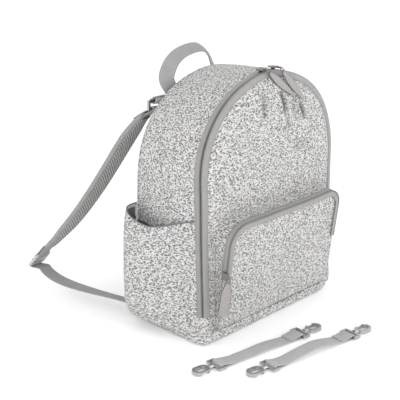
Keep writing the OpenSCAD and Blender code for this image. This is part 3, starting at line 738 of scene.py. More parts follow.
def make_shell():
    """Side wall, back, base and their seams."""
    t = np.concatenate([np.linspace(0, 0.9, 22), 0.9 + 0.1 * np.sin(np.linspace(0.15, 1, 7) * math.pi / 2)])
    s = arch_steps(9, 150)[:, None]
    turned = np.clip((t - 0.9) / 0.1, 0, 1)
    bulge = 1.7 * np.sin(np.pi * np.clip(t / 0.95, 0, 1)) ** 0.8 + 0.9 * ripple(s, t[None] * 120, 3,
        70) * np.sin(np.pi * np.clip(t, 0, 1))
    out = bulge - 1.9 * (1 - np.sqrt(np.clip(1 - turned**2, 0, 1)))
    grid, uv = side_wall(9, 150, t, out, 8.4, BACK - 0.4)
    slab("gusset_fabric", grid, 2.4, "bag", "print_fabric", PRINT, uv, side=1, replaces=("gusset",))

    # back, drawn in from the seam and softly crowned
    u, v = np.linspace(-1, 1, 49), np.linspace(0, 1, 53)
    r = HALF - 2.0
    x = (r * np.sin(np.pi / 2 * u))[:, None]
    top = ARCH_Z + np.sqrt(np.maximum(r * r - x * x, 0))
    z = 8 + v[None] * (top - 8)
    near = np.minimum(1, (1 - np.abs(x / r) ** 6) * (1 - v[None] ** 8) * 4)
    y = BACK - 0.9 + 0.8 * near + 0.25 * ripple(x, z, 11, 60) * near
    slab("back_fabric", bag(x, y, z), 2.4, "bag", "print_fabric", PRINT,
        np.stack(np.broadcast_arrays(-x, z), -1), side=-1, replaces=("back_panel",))

    # piping cord in the back seam
    s = arch_steps(10, 190)
    x, z, nx, nz = arch(s, 10)
    path = bag(x - 2.2 * nx, BACK + 0.5, z - 2.2 * nz)
    sideways = bag(nx, 0, nz)
    sweep("back_seam_piping", path, sideways, np.broadcast_to([0.0, 1, 0], path.shape), circle(2.0, 10),
        "bag", "print_fabric", PRINT_EDGE, replaces=("back_piping",))

    # base tray: plan outline of the bag, rolled under along all its lower edges
    q = np.linspace(0, 2 * math.pi, 161)
    e = 2 / 14
    y0, y1 = -BACK - 4.9 + 0.6, BACK - 0.6
    cx, sx = np.cos(q), np.sin(q)
    px = HALF * np.sign(cx) * np.abs(cx) ** e
    py = (y1 + y0) / 2 + (y1 - y0) / 2 * np.sign(sx) * np.abs(sx) ** e
    roll = np.linspace(0, math.pi / 2, 8)
    inset = np.concatenate([[0.9, 0.1], 11 * (1 - np.cos(roll)), [18, 45, BACK + 8]])
    height = np.concatenate([[SEAM_Z + 0.6, SEAM_Z - 0.6], 11.2 - 11 * np.sin(roll), [0.2, 0.2, 0.2]])
    ex, ey = np.maximum(np.abs(px)[:, None] - inset, 0) * np.sign(px)[:,
        None], (np.maximum(np.abs(py - (y1 + y0) / 2)[:, None] - inset, 0)) * np.sign(sx)[:, None]
    sag = 0.5 * ripple(q[:, None] * 60, height[None] * 2, 5,
        55) * np.sin(np.clip(height / SEAM_Z, 0, 1) * math.pi)
    grid = bag(ex + sag * cx[:, None], (y1 + y0) / 2 + ey + sag * sx[:, None],
        np.broadcast_to(height, ex.shape))
    along = lengths(np.stack([px, py], -1))
    uv = np.stack(np.broadcast_arrays(along[:, None],
        -np.cumsum(np.concatenate([[0], np.hypot(np.diff(inset), np.diff(height))]))[None]), -1)
    slab("base_fabric", grid, 1.6, "bag", "print_fabric", PRINT, uv, side=1, ring=True,
        replaces=("bottom_panel",))
    # painted shade: a thin near-black cord laid in the base seam draws the shadow line of its crease
    rim = bag(px, py, SEAM_Z + 0.2)
    sweep("base_seam_cord", rim, unit(bag(cx, sx, 0 * q)), np.broadcast_to([0.0, 0, 1], rim.shape),
        circle(0.9, 8), "bag", "print_fabric", SEAM, ring=True)
    low = bag(px * 1.0, py, SEAM_Z - 3.4)
    stitches("base_seam_stitching", low + unit(bag(cx, sx, 0 * q)) * 0.15, unit(bag(cx, sx, 0 * q)), "bag",
        pitch=3.6)

    # gusset edge stitched down beside the zip tape
    g, _ = side_wall(20, 260, np.array([0.03, 0.04]), 0.35, 8.4, BACK - 0.4)
    x, z, nx, nz = arch(arch_steps(20, 260), 20)
    stitches("gusset_zip_edge_stitching", g[:, 0], bag(nx, 0, nz), "bag")


def make_zip():
    """Main zip: tapes that lie on the side wall and the panel, and two rows of coil teeth at the corner."""
    grid, uv = edge_band(ZIP_END - 4, 150, [0.25, 0.75, 0.95, 0.55], [2.6, 4.0, 7, 10.4])
    slab("gusset_zip_tape_weave", grid, 1.0, "bag", "zip_tape", TAPE_DARK, uv, replaces=("gusset_zip_tape",))
    grid, uv = edge_band(ZIP_END + 0.6, 150, [-0.2, -0.9, -2.2, -4.2, -6.6, -9.4],
        [-2.6, -4.1, -4.95, -5.3, -5.5, -5.6])
    slab("panel_zip_tape_weave", grid, 0.9, "front_panel", "zip_tape", TAPE_LIGHT, uv, side=-1,
        replaces=("panel_zip_tape",))
    a = np.linspace(0, 2 * math.pi, 7)
    for name, body, sign, start, node in (("gusset_zip_coil", "bag", 1, 0.0, "gusset_zip_chain"),
        ("panel_zip_coil", "front_panel", -1, 0.5, "panel_zip_chain")):
        pitch = 1.55
        total = arch_steps(ZIP_END + 0.6, 2)[-1]
        s = np.arange(1 + start, total / pitch - 1) * pitch
        x, z, nx, nz = arch(s, ZIP_END + 0.6)
        o = front(x - 0.35 * nx, sign * 1.75, z - 0.35 * nz)
        c, sn = math.cos(LEAN), math.sin(LEAN)
        out = unit(bag(nx, nz * sn, nz * c))
        deep = np.broadcast_to([0.0, c, -sn], o.shape) * sign
        shape = np.concatenate([np.stack([np.full(7, d), w * np.cos(a) * 0.62, h * np.sin(a)], -1) for d, w,
            h in ((-1.3, 0, 0), (-0.95, 1.0, 0.85), (0.9, 0.85, 0.9), (1.25, 0, 0))])
        many(name, shape, quads(4, 7), o, deep, np.cross(out, deep), out, body, "zip_chain", COIL,
            replaces=(node,))
        cord = front(x - 1.3 * nx, sign * 2.2, z - 1.3 * nz)
        sweep(name + "_core", cord, out, deep, oblong(1.6, 1.6, 0.5, 2), body, "zip_chain", COIL)
    g, _ = edge_band(ZIP_END + 3, 260, [-8.0, -8.4], [-5.6, -5.6])
    stitches("panel_zip_tape_stitching", g[:, 0], [0.0, -1, 0.03], "front_panel", pitch=3.2, length=2.2,
        width=0.45, finish=THREAD_DARK, lift=0.05, slot="zip_tape")


CREASES = ((14, 341, 24, 309, 9.0, 2.6), (56, 319, 67, 294, 8.0, 2.5), (-24, 346, -22, 306, 4.0, 4.0),
    (26, 304, 33, 284, 3.0, 3.4), (40, 326, 47, 300, 3.0, 3.8))


def crease_line(x, z, crease):
    """How strongly a point lies in one crease, and how far across it, in crease widths."""
    x0, z0, x1, z1, deep, wide = crease
    dx, dz = x1 - x0, z1 - z0
    near = np.clip(((x - x0) * dx + (z - z0) * dz) / (dx * dx + dz * dz), 0, 1)
    off = np.hypot(x - x0 - near * dx, z - z0 - near * dz) / wide
    return deep * np.sin(np.pi * np.clip(near * 0.9 + 0.1, 0, 1)) ** 0.5, off


def panel_depth(x, z):
    """Depth of the panel's face in the front frame: it rises steeply from the zip into a soft crown, less
    so behind the
    pocket, and gathers into short creases under the sliders."""
    edge_and_shadow = np.minimum(HALF - np.abs(x), np.where(z > ARCH_Z, HALF - np.hypot(x, z - ARCH_Z), HALF))
    rise = 0.38 * (1 - (1 - np.clip((edge_and_shadow - 9) / 9, 0, 1)) ** 2) + 0.62 * (1
        - (1 - np.clip((edge_and_shadow - 9) / 62, 0, 1)) ** 3)
    y = PANEL_FRONT - 8.4 * rise * (0.25 + 0.75 * ease(150, 215, z)) * ease(SEAM_Z, 60,
        z) - 0.7 * rise * ripple(x, z, 21, 75)
    for crease in CREASES:
        deep, off = crease_line(x, z, crease)
        y = y + deep * (np.exp(-(off**2)) - 0.4 * np.exp(-((off / 3) ** 2)))
    return y


def make_panel():
    """Front panel from the base seam to the arch. Below the zip's end it belongs to the bag and above it
    opens, but it is made as one piece attached to no body."""
    u, v = np.linspace(-1, 1, 201), np.linspace(0, 1, 215)
    r = HALF - 3.0
    x = (r * np.sin(np.pi / 2 * u))[:, None]
    top = ARCH_Z + np.sqrt(np.maximum(r * r - x * x, 0))
    z = SEAM_Z - 2 + v[None] * (top - SEAM_Z + 2)
    x = np.broadcast_to(x, z.shape)
    y = panel_depth(x, z)
    foot, end = front(0, -5.5, ZIP_END - 8), front(0, -5.5, ZIP_END + 8)
    panel = slab("front_panel_fabric", front(x, y, z), 3.0, ("bag", "front_panel", foot, end),
        "print_fabric", PRINT,
                 np.stack([x, z], -1), side=1, replaces=("front_panel", "front_base_band"))
    # cloth pinched in the creases is closed up, and its colour is darkened there as painted shade; its cloth
    # coordinates are its place on the panel
    loops = panel.data.loops
    corner_of, mark = np.zeros(len(loops), int), np.zeros(len(loops) * 2)
    loops.foreach_get("vertex_index", corner_of)
    panel.data.uv_layers["cloth"].data.foreach_get("uv", mark)
    at = np.zeros((len(panel.data.vertices), 2))
    at[corner_of] = mark.reshape(-1, 2) / MM
    shade = sum(0.17 * deep * np.exp(-((off / 1.5) ** 2)) for deep,
        off in (crease_line(at[:, 0], at[:, 1], crease) for crease in CREASES))
    panel.data.attributes.new("worn", "FLOAT", "POINT").data.foreach_set("value",
        np.clip(shade, 0, 1).astype(np.float32))
    # lining on the panel's inner face
    r = HALF - 8
    x = (r * np.sin(np.pi / 2 * np.linspace(-1, 1, 41)))[:, None]
    top = ARCH_Z + np.sqrt(np.maximum(r * r - x * x, 0))
    z = ZIP_END + 3 + np.linspace(0, 1, 41)[None] * (top - ZIP_END - 3)
    x = np.broadcast_to(x, z.shape)
    slab("front_panel_lining", front(x, -0.1 - 0.25 * ripple(x, z, 8, 60), z), 0.7, "front_panel",
        "dark_lining", LINING, np.stack([x, z], -1), side=-1, replaces=("front_lining",))
    # patches that cover the zip's lower ends
    for side, name in ((-1, "left"), (1, "right")):
        out = np.array([0.7, 1.1, 1.1, 0.9, 0.2, -1.2, -3.0, -8, -14, -15])
        deep = np.array([15.5, 14, 8, 1, -3.2, -4.9, -5.6, -6.1, -6.2, -5.6])
        zz = np.linspace(SEAM_Z - 1.5, ZIP_END + 1.5, 12)[:, None]
        puffed = 0.5 * np.sin(np.clip((zz - 16) / 29, 0, 1) * math.pi)
        slab("zip_end_patch_" + name, front(side * (HALF + out + puffed), deep - puffed * (deep < 0), zz),
            1.3, "bag", "print_fabric", PRINT,
             side=side, replaces=("zip_end_patches",))
        for k, (o, d, n) in enumerate(((1.3, 12.8, (side, 0, 0)), (-12.4, -6.4, (0, -1, 0)))):
            line = front(side * (HALF + o + 0.2), np.full(30, d), np.linspace(SEAM_Z + 1, ZIP_END, 30))
            stitches(f"zip_end_patch_{name}_stitching_{k + 1}", line, n, "bag", pitch=3.2)
    # blank round mark pressed into the cloth
    a = np.linspace(0, 2 * math.pi, 49)
    rr = np.array([0.0, 3.0, 5.2, 5.6, 6.4, 7.0, 7.2, 0.0])
    hh = np.array([0.5, 0.5, 0.5, 0.95, 0.95, 0.5, 0.0, 0.0])
    lo, hi = corner("badge")
    cx, cz = (lo[0] + hi[0]) / 2, (lo[2] + hi[2]) / 2
    bx, bz = cx + rr[:, None] * np.cos(a), cz + 0.0 * a + rr[:, None] * np.sin(a)
    base = panel_depth(np.array([cx]), np.array([cz]))[0]
    grid = front(bx, base - 0.3 - np.broadcast_to(hh[:, None], bx.shape), bz)
    piece("round_mark", grid, quads(*grid.shape[:2]), np.stack([bx, bz], -1), "front_panel", "print_fabric",
        PRINT_EDGE, replaces=("badge",))
    rim = np.stack([cx + 6.0 * np.cos(a[:-1]), cz + 6.0 * np.sin(a[:-1])], -1)
    rim = front(rim[:, 0], base - 1.25, rim[:, 1])
    sweep("round_mark_ring", rim, unit(rim - rim.mean(0)), np.broadcast_to([0.0, -1, 0], rim.shape),
        circle(0.45, 8), "front_panel", "print_fabric", THREAD_DARK, ring=True)


def pocket_columns(step=5.0):
    """Widths across the pocket, closer together where the corners turn."""
    a = np.linspace(0, math.pi / 2, 9)
    turn = POCKET_HALF - POCKET_R * (1 - np.sin(a))
    mid = np.linspace(-turn[0], turn[0], int(2 * turn[0] / step))
    return np.concatenate([-turn[::-1], mid[1:-1], turn])


def pocket_edge(inset, foot, count):
    """The pocket's edge from its left foot over the top to its right foot, drawn in by an inset, evenly
    spaced."""
    r, w, top = POCKET_R - inset, POCKET_HALF - inset, POCKET_TOP - inset
    a = np.linspace(0, math.pi / 2, 24)
    left = np.stack([-w + r - r * np.cos(a), top - r + r * np.sin(a)], -1)
    right = left[::-1] * [-1, 1]
    return even(np.vstack([[[-w, foot]], left, right, [[w, foot]]]), count)


def pocket_bulge(x, z, foot=-30.0):
    """How far the pocket's face stands out of its flat: a soft pillow, flat at the edges."""
    top = np.where(np.abs(x) < POCKET_HALF - POCKET_R, POCKET_TOP,
        POCKET_TOP - POCKET_R
        + np.sqrt(np.maximum(POCKET_R**2 - (np.abs(x) - POCKET_HALF + POCKET_R) ** 2, 0)))
    edge_and_shadow = np.minimum(np.minimum(POCKET_HALF - np.abs(x), top - z), (z - foot) * 1.4)
    return 3.0 * ease(2, 55, edge_and_shadow) + 0.7 * ripple(x, z, 33, 62) * ease(6, 40, edge_and_shadow)


def make_pocket():
    """Front pocket: face, wall, zip and stitching. Its foot belongs to the bag and the rest moves with the
    panel, but the face and wall are attached to no body; only the zip and stitching are."""
    crossing = ("bag", "front_panel", front(0, -5.5, ZIP_END - 10), front(0, -5.5, ZIP_END + 9))
    foot = -30.0
    x = pocket_columns()
    top = np.where(np.abs(x) < POCKET_HALF - POCKET_R, POCKET_TOP,
        POCKET_TOP - POCKET_R
        + np.sqrt(np.maximum(POCKET_R**2 - (np.abs(x) - POCKET_HALF + POCKET_R) ** 2, 0)))
    v = np.linspace(0, 1, 42)
    z = foot + v[None] * (top[:, None] - foot)
    x = np.broadcast_to(x[:, None], z.shape)
    tuck = 6.5 * (1 - ease(0, 9, z - foot)) ** 2
    y = -pocket_bulge(x, z, foot) + tuck
    grid = pocket(x, y, z)
    face = slab("front_pocket_fabric", grid, 1.8, crossing, "print_fabric", PRINT,
        np.stack([x + 7, z + 90], -1), side=1, replaces=("pocket_face",))
    # wall between face and panel
    line = pocket_edge(0.2, foot + 2, 150)
    c, s = math.cos(POCKET_TILT), math.sin(POCKET_TILT)
    depth = (POCKET_FOOT - 1.2 + line[:, 1] * s) / c
    q = np.linspace(0.02, 1, 9)
    lx, lz = line[:, :1], line[:, 1:]
    out = facing(np.stack([bag(line[:, 0], 0, line[:, 1]), bag(line[:, 0], 1, line[:, 1])], 1))[:, 0]
    swell = (1.4 * np.sin(np.pi * q) + 0.5 * ripple(lengths(line)[:, None], q[None] * 30, 41, 45)) * -1
    grid = pocket(lx + out[:, :1] * swell, q[None] * depth[:, None], lz + out[:, 2:] * swell)
    slab("front_pocket_wall_fabric", grid, 1.6, crossing, "print_fabric", PRINT,
        np.stack(np.broadcast_arrays(q[None] * 30, lengths(line)[:, None]), -1), side=1,
        replaces=("pocket_wall",))
    # zip round the pocket's edge, from the slider up, over the top and down the right side
    start = SLIDER_Z - 8
    line = pocket_edge(0.0, start, 170)
    out = np.stack([-np.gradient(line[:, 1]), np.gradient(line[:, 0])], -1)
    out = out / np.linalg.norm(out, axis=1, keepdims=True)
    bands = (
        ("pocket_zip_tape_face", [0.1, -0.9, -2.6, -5, -7.6], [-1.6, -2.6, -3.1, -3.4, -3.6], TAPE_LIGHT, -1),
        ("pocket_zip_tape_wall", [0.9, 1.3, 1.4, 1.1], [1.0, 2.8, 6.0, 8.0], TAPE_DARK, 1),
    )
    for name, o, d, cloth, side in bands:
        o, d = np.array(o), np.array(d)
        lift = pocket_bulge(line[:, :1] + out[:, :1] * o, line[:, 1:] + out[:, 1:] * o) * (d < 0)
        grid = pocket(line[:, :1] + out[:, :1] * o, d - lift * 0.6 + (0.9 if side < 0 else 0),
            line[:, 1:] + out[:, 1:] * o)
        uvv = np.stack(np.broadcast_arrays(np.abs(o)[None] + np.abs(d)[None], lengths(line)[:, None]), -1)
        slab(name, grid, 0.9, "front_panel", "zip_tape", cloth, uvv, side=side,
            replaces=("pocket_zip_tape",) if side < 0 else ())
    pitch = 1.5
    a = np.linspace(0, 2 * math.pi, 7)
    count = int(lengths(line)[-1] / pitch)
    at = even(line, count)
    o2 = np.stack([-np.gradient(at[:, 1]), np.gradient(at[:, 0])], -1)
    o2 = o2 / np.linalg.norm(o2, axis=1, keepdims=True)
    origin = pocket(at[:, 0] + 0.5 * o2[:, 0], -0.5, at[:, 1] + 0.5 * o2[:, 1])
    away = unit(pocket(at[:, 0] + o2[:, 0], -0.5, at[:, 1] + o2[:, 1]) - pocket(at[:, 0], -0.5, at[:, 1]))
    deep = unit(pocket(at[:, 0], 0.5, at[:, 1]) - pocket(at[:, 0], -0.5, at[:, 1]))
    along = np.cross(away, deep)
    shape = np.concatenate([np.stack([np.full(7, d), w * np.cos(a) * 0.6, h * np.sin(a)], -1) for d, w,
        h in ((-2.0, 0.5, 0.3), (-1.6, 1.0, 0.9), (1.2, 1.0, 0.9), (1.6, 0.5, 0.3))])
    many("pocket_zip_coil", shape, quads(4, 7), origin, deep, along, away, "front_panel", "zip_chain", COIL)
    # topstitching and the welt along the foot
    inner = pocket_edge(9.0, start + 2, 200)
    ys = -pocket_bulge(inner[:, 0], inner[:, 1]) - 0.1
    stitches("pocket_face_stitching", pocket(inner[:, 0], ys, inner[:, 1]), [0.0, -1, 0.1], "front_panel",
        pitch=3.3)
    foot_x = np.linspace(-POCKET_HALF + 2, POCKET_HALF - 2, 90)
    fz = np.full(90, foot + 9.0)
    stitches("pocket_foot_stitching", pocket(foot_x, -pocket_bulge(foot_x, fz, foot) - 0.1, fz),
        [0.0, -1, 0], "bag", pitch=3.4)


def make_side_pockets():
    """Side pockets: open shells that swell towards the back, with an elastic rim and a slate lining."""
    for side, name in ((-1, "left"), (1, "right")):
        plan = smooth_line([(0.6, -55), (2.6, -44), (7.0, -28), (15.0, -8), (25.5, 14), (32.0, 34),
            (34.0, 48), (32.0, 58.5), (24.0, 64.8), (11, 66.2), (0.8, 66.2)], 70)
        v = np.linspace(0, 1, 40)
        y = plan[:, 1][:, None]
        top = smooth_line([(-57, 185.5), (-20, 175.5), (5, 169), (20, 168.5), (43, 175.5), (58, 184),
            (67, 187)], 60)
        rim = np.interp(y, top[:, 0], top[:, 1])
        z = 13 + v[None] * (rim - 13)
        low = 0.36 + 0.64 * np.sin(np.clip((z - 13) / 40, 0, 1) * math.pi / 2) ** 0.8
        gather = 1.1 * ripple(lengths(plan)[:, None], z * 0.25, 50 + side,
            26) * np.exp(-(rim - z) / 26.0) * ease(6, 20, plan[:, 0])[:, None]
        pull = 4.6 * np.exp(-(rim - z) / 14.0) * ease(8, 26, plan[:, 0])[:, None]
        sway = 1.1 * ripple(y, z, 60 + side, 80) * ease(4, 24, plan[:, 0])[:, None]
        out = plan[:, 0][:, None] * low - pull + gather + sway
        x = side * (HALF + 0.6 + np.maximum(out, 0.3))
        front_lean = (z * math.tan(LEAN)) * (1 - ease(-55, 20, y))
        grid = bag(x, y + front_lean, z)
        uv = np.stack(np.broadcast_arrays(lengths(plan)[:, None], z), -1)
        slab(f"side_pocket_{name}_fabric", grid, 1.3, "bag", "print_fabric", PRINT, uv, side=side,
            replaces=(f"side_pocket_{name}",))
        inner = grid - facing(grid) * side * 1.7
        slab(f"side_pocket_{name}_lining", inner[2:-2, 2:-1], 0.7, "bag", "dark_lining", LINING,
            uv[2:-2, 2:-1], side=side, replaces=(f"side_lining_{name}",))
        # dark lining over the bag's wall inside the pocket: partly the lining, partly painted shade in the
        # pocket's gap
        wy, wz = np.linspace(-20, 61, 30)[:, None], np.linspace(0, 1, 30)[None]
        wz = 16 + wz * (146 + 16 * ease(10, 45, wy) - 16)
        slab(f"side_pocket_{name}_back_facing",
            bag(side * (HALF + 1.9 + 0.3 * ripple(wy, wz, 71, 50)), wy + 2, wz), 0.6, "bag", "dark_lining",
            LINING, side=side)
        # bound rim
        edge_and_shadow = grid[:, -1]
        t = tangents(edge_and_shadow)
        up = np.broadcast_to([0.0, 0, 1], edge_and_shadow.shape)
        across = unit(np.cross(t, up))
        up = unit(np.cross(across, t))
        sweep(f"side_pocket_{name}_rim", edge_and_shadow - facing(grid)[:, -1] * side * 0.75, across, up,
            oblong(1.7, 2.4, 0.8), "bag", "dark_lining", LINING_PALE)
        below = grid[2:-2, -5]
        stitches(f"side_pocket_{name}_rim_stitching", below, side * facing(grid)[2:-2, -5], "bag", pitch=3.4)


def make_inside():
    """Lining, back padding, elastic pocket row and base board seen when the front is open."""
    grid, uv = side_wall(5, 110, np.linspace(0, 1, 16),
        -3.2 - 0.5 * ripple(arch_steps(5, 110)[:, None], np.linspace(0, 1, 16)[None] * 120, 77, 60), 14.0,
        BACK - 12)
    slab("interior_lining_cloth", grid, 0.8, "bag", "dark_lining", LINING, uv, replaces=("interior_lining",))
    r = HALF - 9
    x = (r * np.sin(np.pi / 2 * np.linspace(-1, 1, 45)))[:, None]
    top = ARCH_Z + np.sqrt(np.maximum(r * r - x * x, 0))
    z = 6 + np.linspace(0, 1, 45)[None] * (top - 6)
    x = np.broadcast_to(x, z.shape)
    quilt = np.abs(np.sin(x / 46 * math.pi)) ** 0.4
    y = BACK - 10.0 - 1.2 * quilt * np.minimum(1, (1 - np.abs(x / r) ** 6) * 4)
    back = slab("back_padding_lining", bag(x, y, z), 5.5, "bag", "foam", FOAM, np.stack([x, z], -1), side=1,
        replaces=("back_foam",))
    lo, hi = corner("inner_pocket_row")
    px = np.linspace(lo[0], hi[0], 121)[:, None]
    cell = (hi[0] - lo[0]) / 3
    belly = np.abs(np.sin((px - lo[0]) / cell * math.pi)) ** 0.7
    pz = np.linspace(lo[2], hi[2], 18)[None]
    py = hi[1] - 1.0 - 10.5 * belly * (1 - 0.25 * ease(100, 138, pz)) - 0.4 * ripple(px, pz * 0.2, 81,
        12) * ease(115, 138, pz)
    px = np.broadcast_to(px, py.shape)
    slab("inner_pocket_row_cloth", bag(px, py, pz), 1.0, "bag", "dark_lining", LINING_PALE,
        np.stack([px, np.broadcast_to(pz, px.shape)], -1), side=1, replaces=("inner_pocket_row",))
    edge_and_shadow = bag(px[:, -1], py[:, -1] - 0.2, hi[2] - 2)
    sweep("inner_pocket_row_elastic", edge_and_shadow, np.broadcast_to([0.0, 0, 1], edge_and_shadow.shape),
        unit(np.cross(tangents(edge_and_shadow), [0.0, 0, 1])), oblong(9, 1.6, 0.7), "bag", "webbing", WEBBING)
    lo, hi = corner("base_board")
    bx, by = np.linspace(lo[0], hi[0], 30)[:, None], np.linspace(lo[1], hi[1], 16)[None]
    slab("base_board_cover", bag(bx, by, hi[2] + 0.3 * ripple(bx, by, 91, 90)), 2.2, "bag", "board", FOAM,
        np.stack(np.broadcast_arrays(bx, by), -1), side=1, replaces=("base_board",))


def make_back():
    """Mesh back pad, yoke, ring tabs and anchor wings on the back."""
    cx, cz = 0.0, (mesh_lo[2] + mesh_hi[2]) / 2
    w, h = (mesh_hi[0] - mesh_lo[0]) / 2, (mesh_hi[2] - mesh_lo[2]) / 2
    q = np.linspace(0, 2 * math.pi, 121)
    rho = np.concatenate([np.linspace(0, 0.9, 26), [0.94, 0.97, 0.99, 1.0]])
    e = 2 / 5.5
    sq = bag(w * np.sign(np.cos(q)) * np.abs(np.cos(q)) ** e, 0,
        h * np.sign(np.sin(q)) * np.abs(np.sin(q)) ** e)
    x, z = cx + rho[:, None] * sq[None, :, 0], cz + rho[:, None] * sq[None, :, 2]
    channel = 1 - 0.75 * np.exp(-(((np.abs(x) - w / 3) / 4.0) ** 2)) * (rho[:, None] < 0.97)
    cross = 1 - 0.5 * np.exp(-(((np.abs(z - cz) - h / 2.6) / 4.0) ** 2)) * (rho[:, None] < 0.97)
    rise = (1 - rho[:, None] ** 7) * 6.6 * channel * cross
    y = BACK + 0.2 + rise
    points = np.stack([bag(x, y, z), bag(x, np.full_like(y, BACK + 0.1), z)])
    grid = np.concatenate([points[0], points[1][::-1]])
    faces = quads(*grid.shape[:2])
    uv = np.concatenate([np.stack([x, z], -1), np.stack([x, z], -1)[::-1]])
    pin = np.concatenate([np.where((rise < 3.4), 1.0, 0.0), np.ones(x.shape)[::-1]])
    pts = puff(grid.reshape(-1, 3), faces, pin.ravel(), 2.0)
    pad = piece("back_mesh_padding", pts, faces, uv, "bag", "air_mesh", MESH, replaces=("back_mesh_pad",))
    rim = bag(cx + sq[:, 0], BACK + 1.3, cz + sq[:, 2])
    sweep("back_pad_binding", rim, unit(bag(sq[:, 0] / w, 0, sq[:, 2] / h)),
        np.broadcast_to([0.0, 1, 0], rim.shape), oblong(6, 2.2, 1.0), "bag", "strap_cover", BINDING,
        ring=True)
    # yoke
    lo = corner("yoke")[0]
    gx = np.linspace(-1, 1, 61)[:, None]
    gz = np.linspace(0, 1, 20)[None]
    half = np.minimum(RING_X + 2, np.sqrt(np.maximum((HALF - 5.5) ** 2 - (lo[2] + gz * 60 - ARCH_Z) ** 2, 0)))
    x, z = gx * half, np.broadcast_to(lo[2] + gz * 60, (61, 20))
    slab("yoke_fabric", bag(x, BACK + 2.1 + 0.25 * ripple(x, z, 14, 40), z), 1.8, "bag", "print_fabric",
        PRINT, np.stack([x, z], -1), side=-1, replaces=("yoke",))
    for k, zz in enumerate((lo[2] + 3.0, lo[2] + 54)):
        hw = min(RING_X - 1, math.sqrt((HALF - 9) ** 2 - (zz - ARCH_Z) ** 2))
        stitches(f"yoke_stitching_{k + 1}", bag(np.linspace(-hw, hw, 120), BACK + 2.4, zz), [0.0, 1, 0],
            "bag")
    for side, name in ((-1, "left"), (1, "right")):
        # tab: sewn to the yoke, over the ring's upper bar and back
        zr = RING_Z - 3
        a = np.linspace(-math.pi * 0.5, math.pi * 0.62, 15)
        loop = np.stack([STRAP_Y + 3.0 * np.cos(a), zr + 3.0 * np.sin(a)], -1)
        path2 = np.vstack([[BACK - 3.4, zr + 6], [BACK - 2.4, zr + 1], [BACK + 1.0, zr - 3.0],
            [STRAP_Y - 2.2, zr - 2.6], loop[1:], [BACK + 2.0, zr + 6.5], [BACK - 1.6, zr + 7]])
        path2 = smooth_line(path2, 70)
        path = bag(side * RING_X + side * 0.0, path2[:, 0], path2[:, 1])
        across = np.broadcast_to([1.0, 0, 0], path.shape)
        sweep(f"ring_tab_{name}", path, across, unit(np.cross(tangents(path), across)),
            oblong(22.5, 1.3, 0.6), "bag", "webbing", WEBBING, replaces=("ring_tabs",), settled=False)
        bx = np.array([-1, 1, 1, -1, -1, 1]) * 8.5 + side * RING_X
        bz = np.array([0, 0, 1, 1, 0, 1]) * 5.0 + zr + 1
        stitches(f"ring_tab_{name}_stitching", even(bag(bx, BACK + 5.2, bz), 60), [0.0, 1, 0.1], "bag",
            pitch=2.6, length=2.0, finish=THREAD_DARK, slot="webbing", settled=False)
        # anchor wing: a folded triangle of print cloth that holds the lower webbing
        u, v = np.linspace(0, 1, 22)[:, None], np.linspace(-1, 1, 16)[None]
        reach = 34 * (1 - u)
        wx = side * (FOOT_X + 7.5 - reach * 1.35)
        wz = FOOT_Z + v * (13.5 + reach * 0.42)
        wy = BACK + 1.5 + 4.6 * ease(0.1, 1, u) + 0.3 * ripple(u * 30, v * 20, 9, 20)
        slab(f"anchor_wing_{name}", bag(wx, wy, np.maximum(wz, 3)), 1.8, "bag", "print_fabric", PRINT,
            side=-side, replaces=("strap_anchors",))
        line = bag(np.full(30, side * (FOOT_X + 2.5)), BACK + 6.0, np.linspace(FOOT_Z - 13, FOOT_Z + 13, 30))
        stitches(f"anchor_wing_{name}_stitching", line, [0.0, 1, 0], "bag", pitch=2.8, length=2.1)


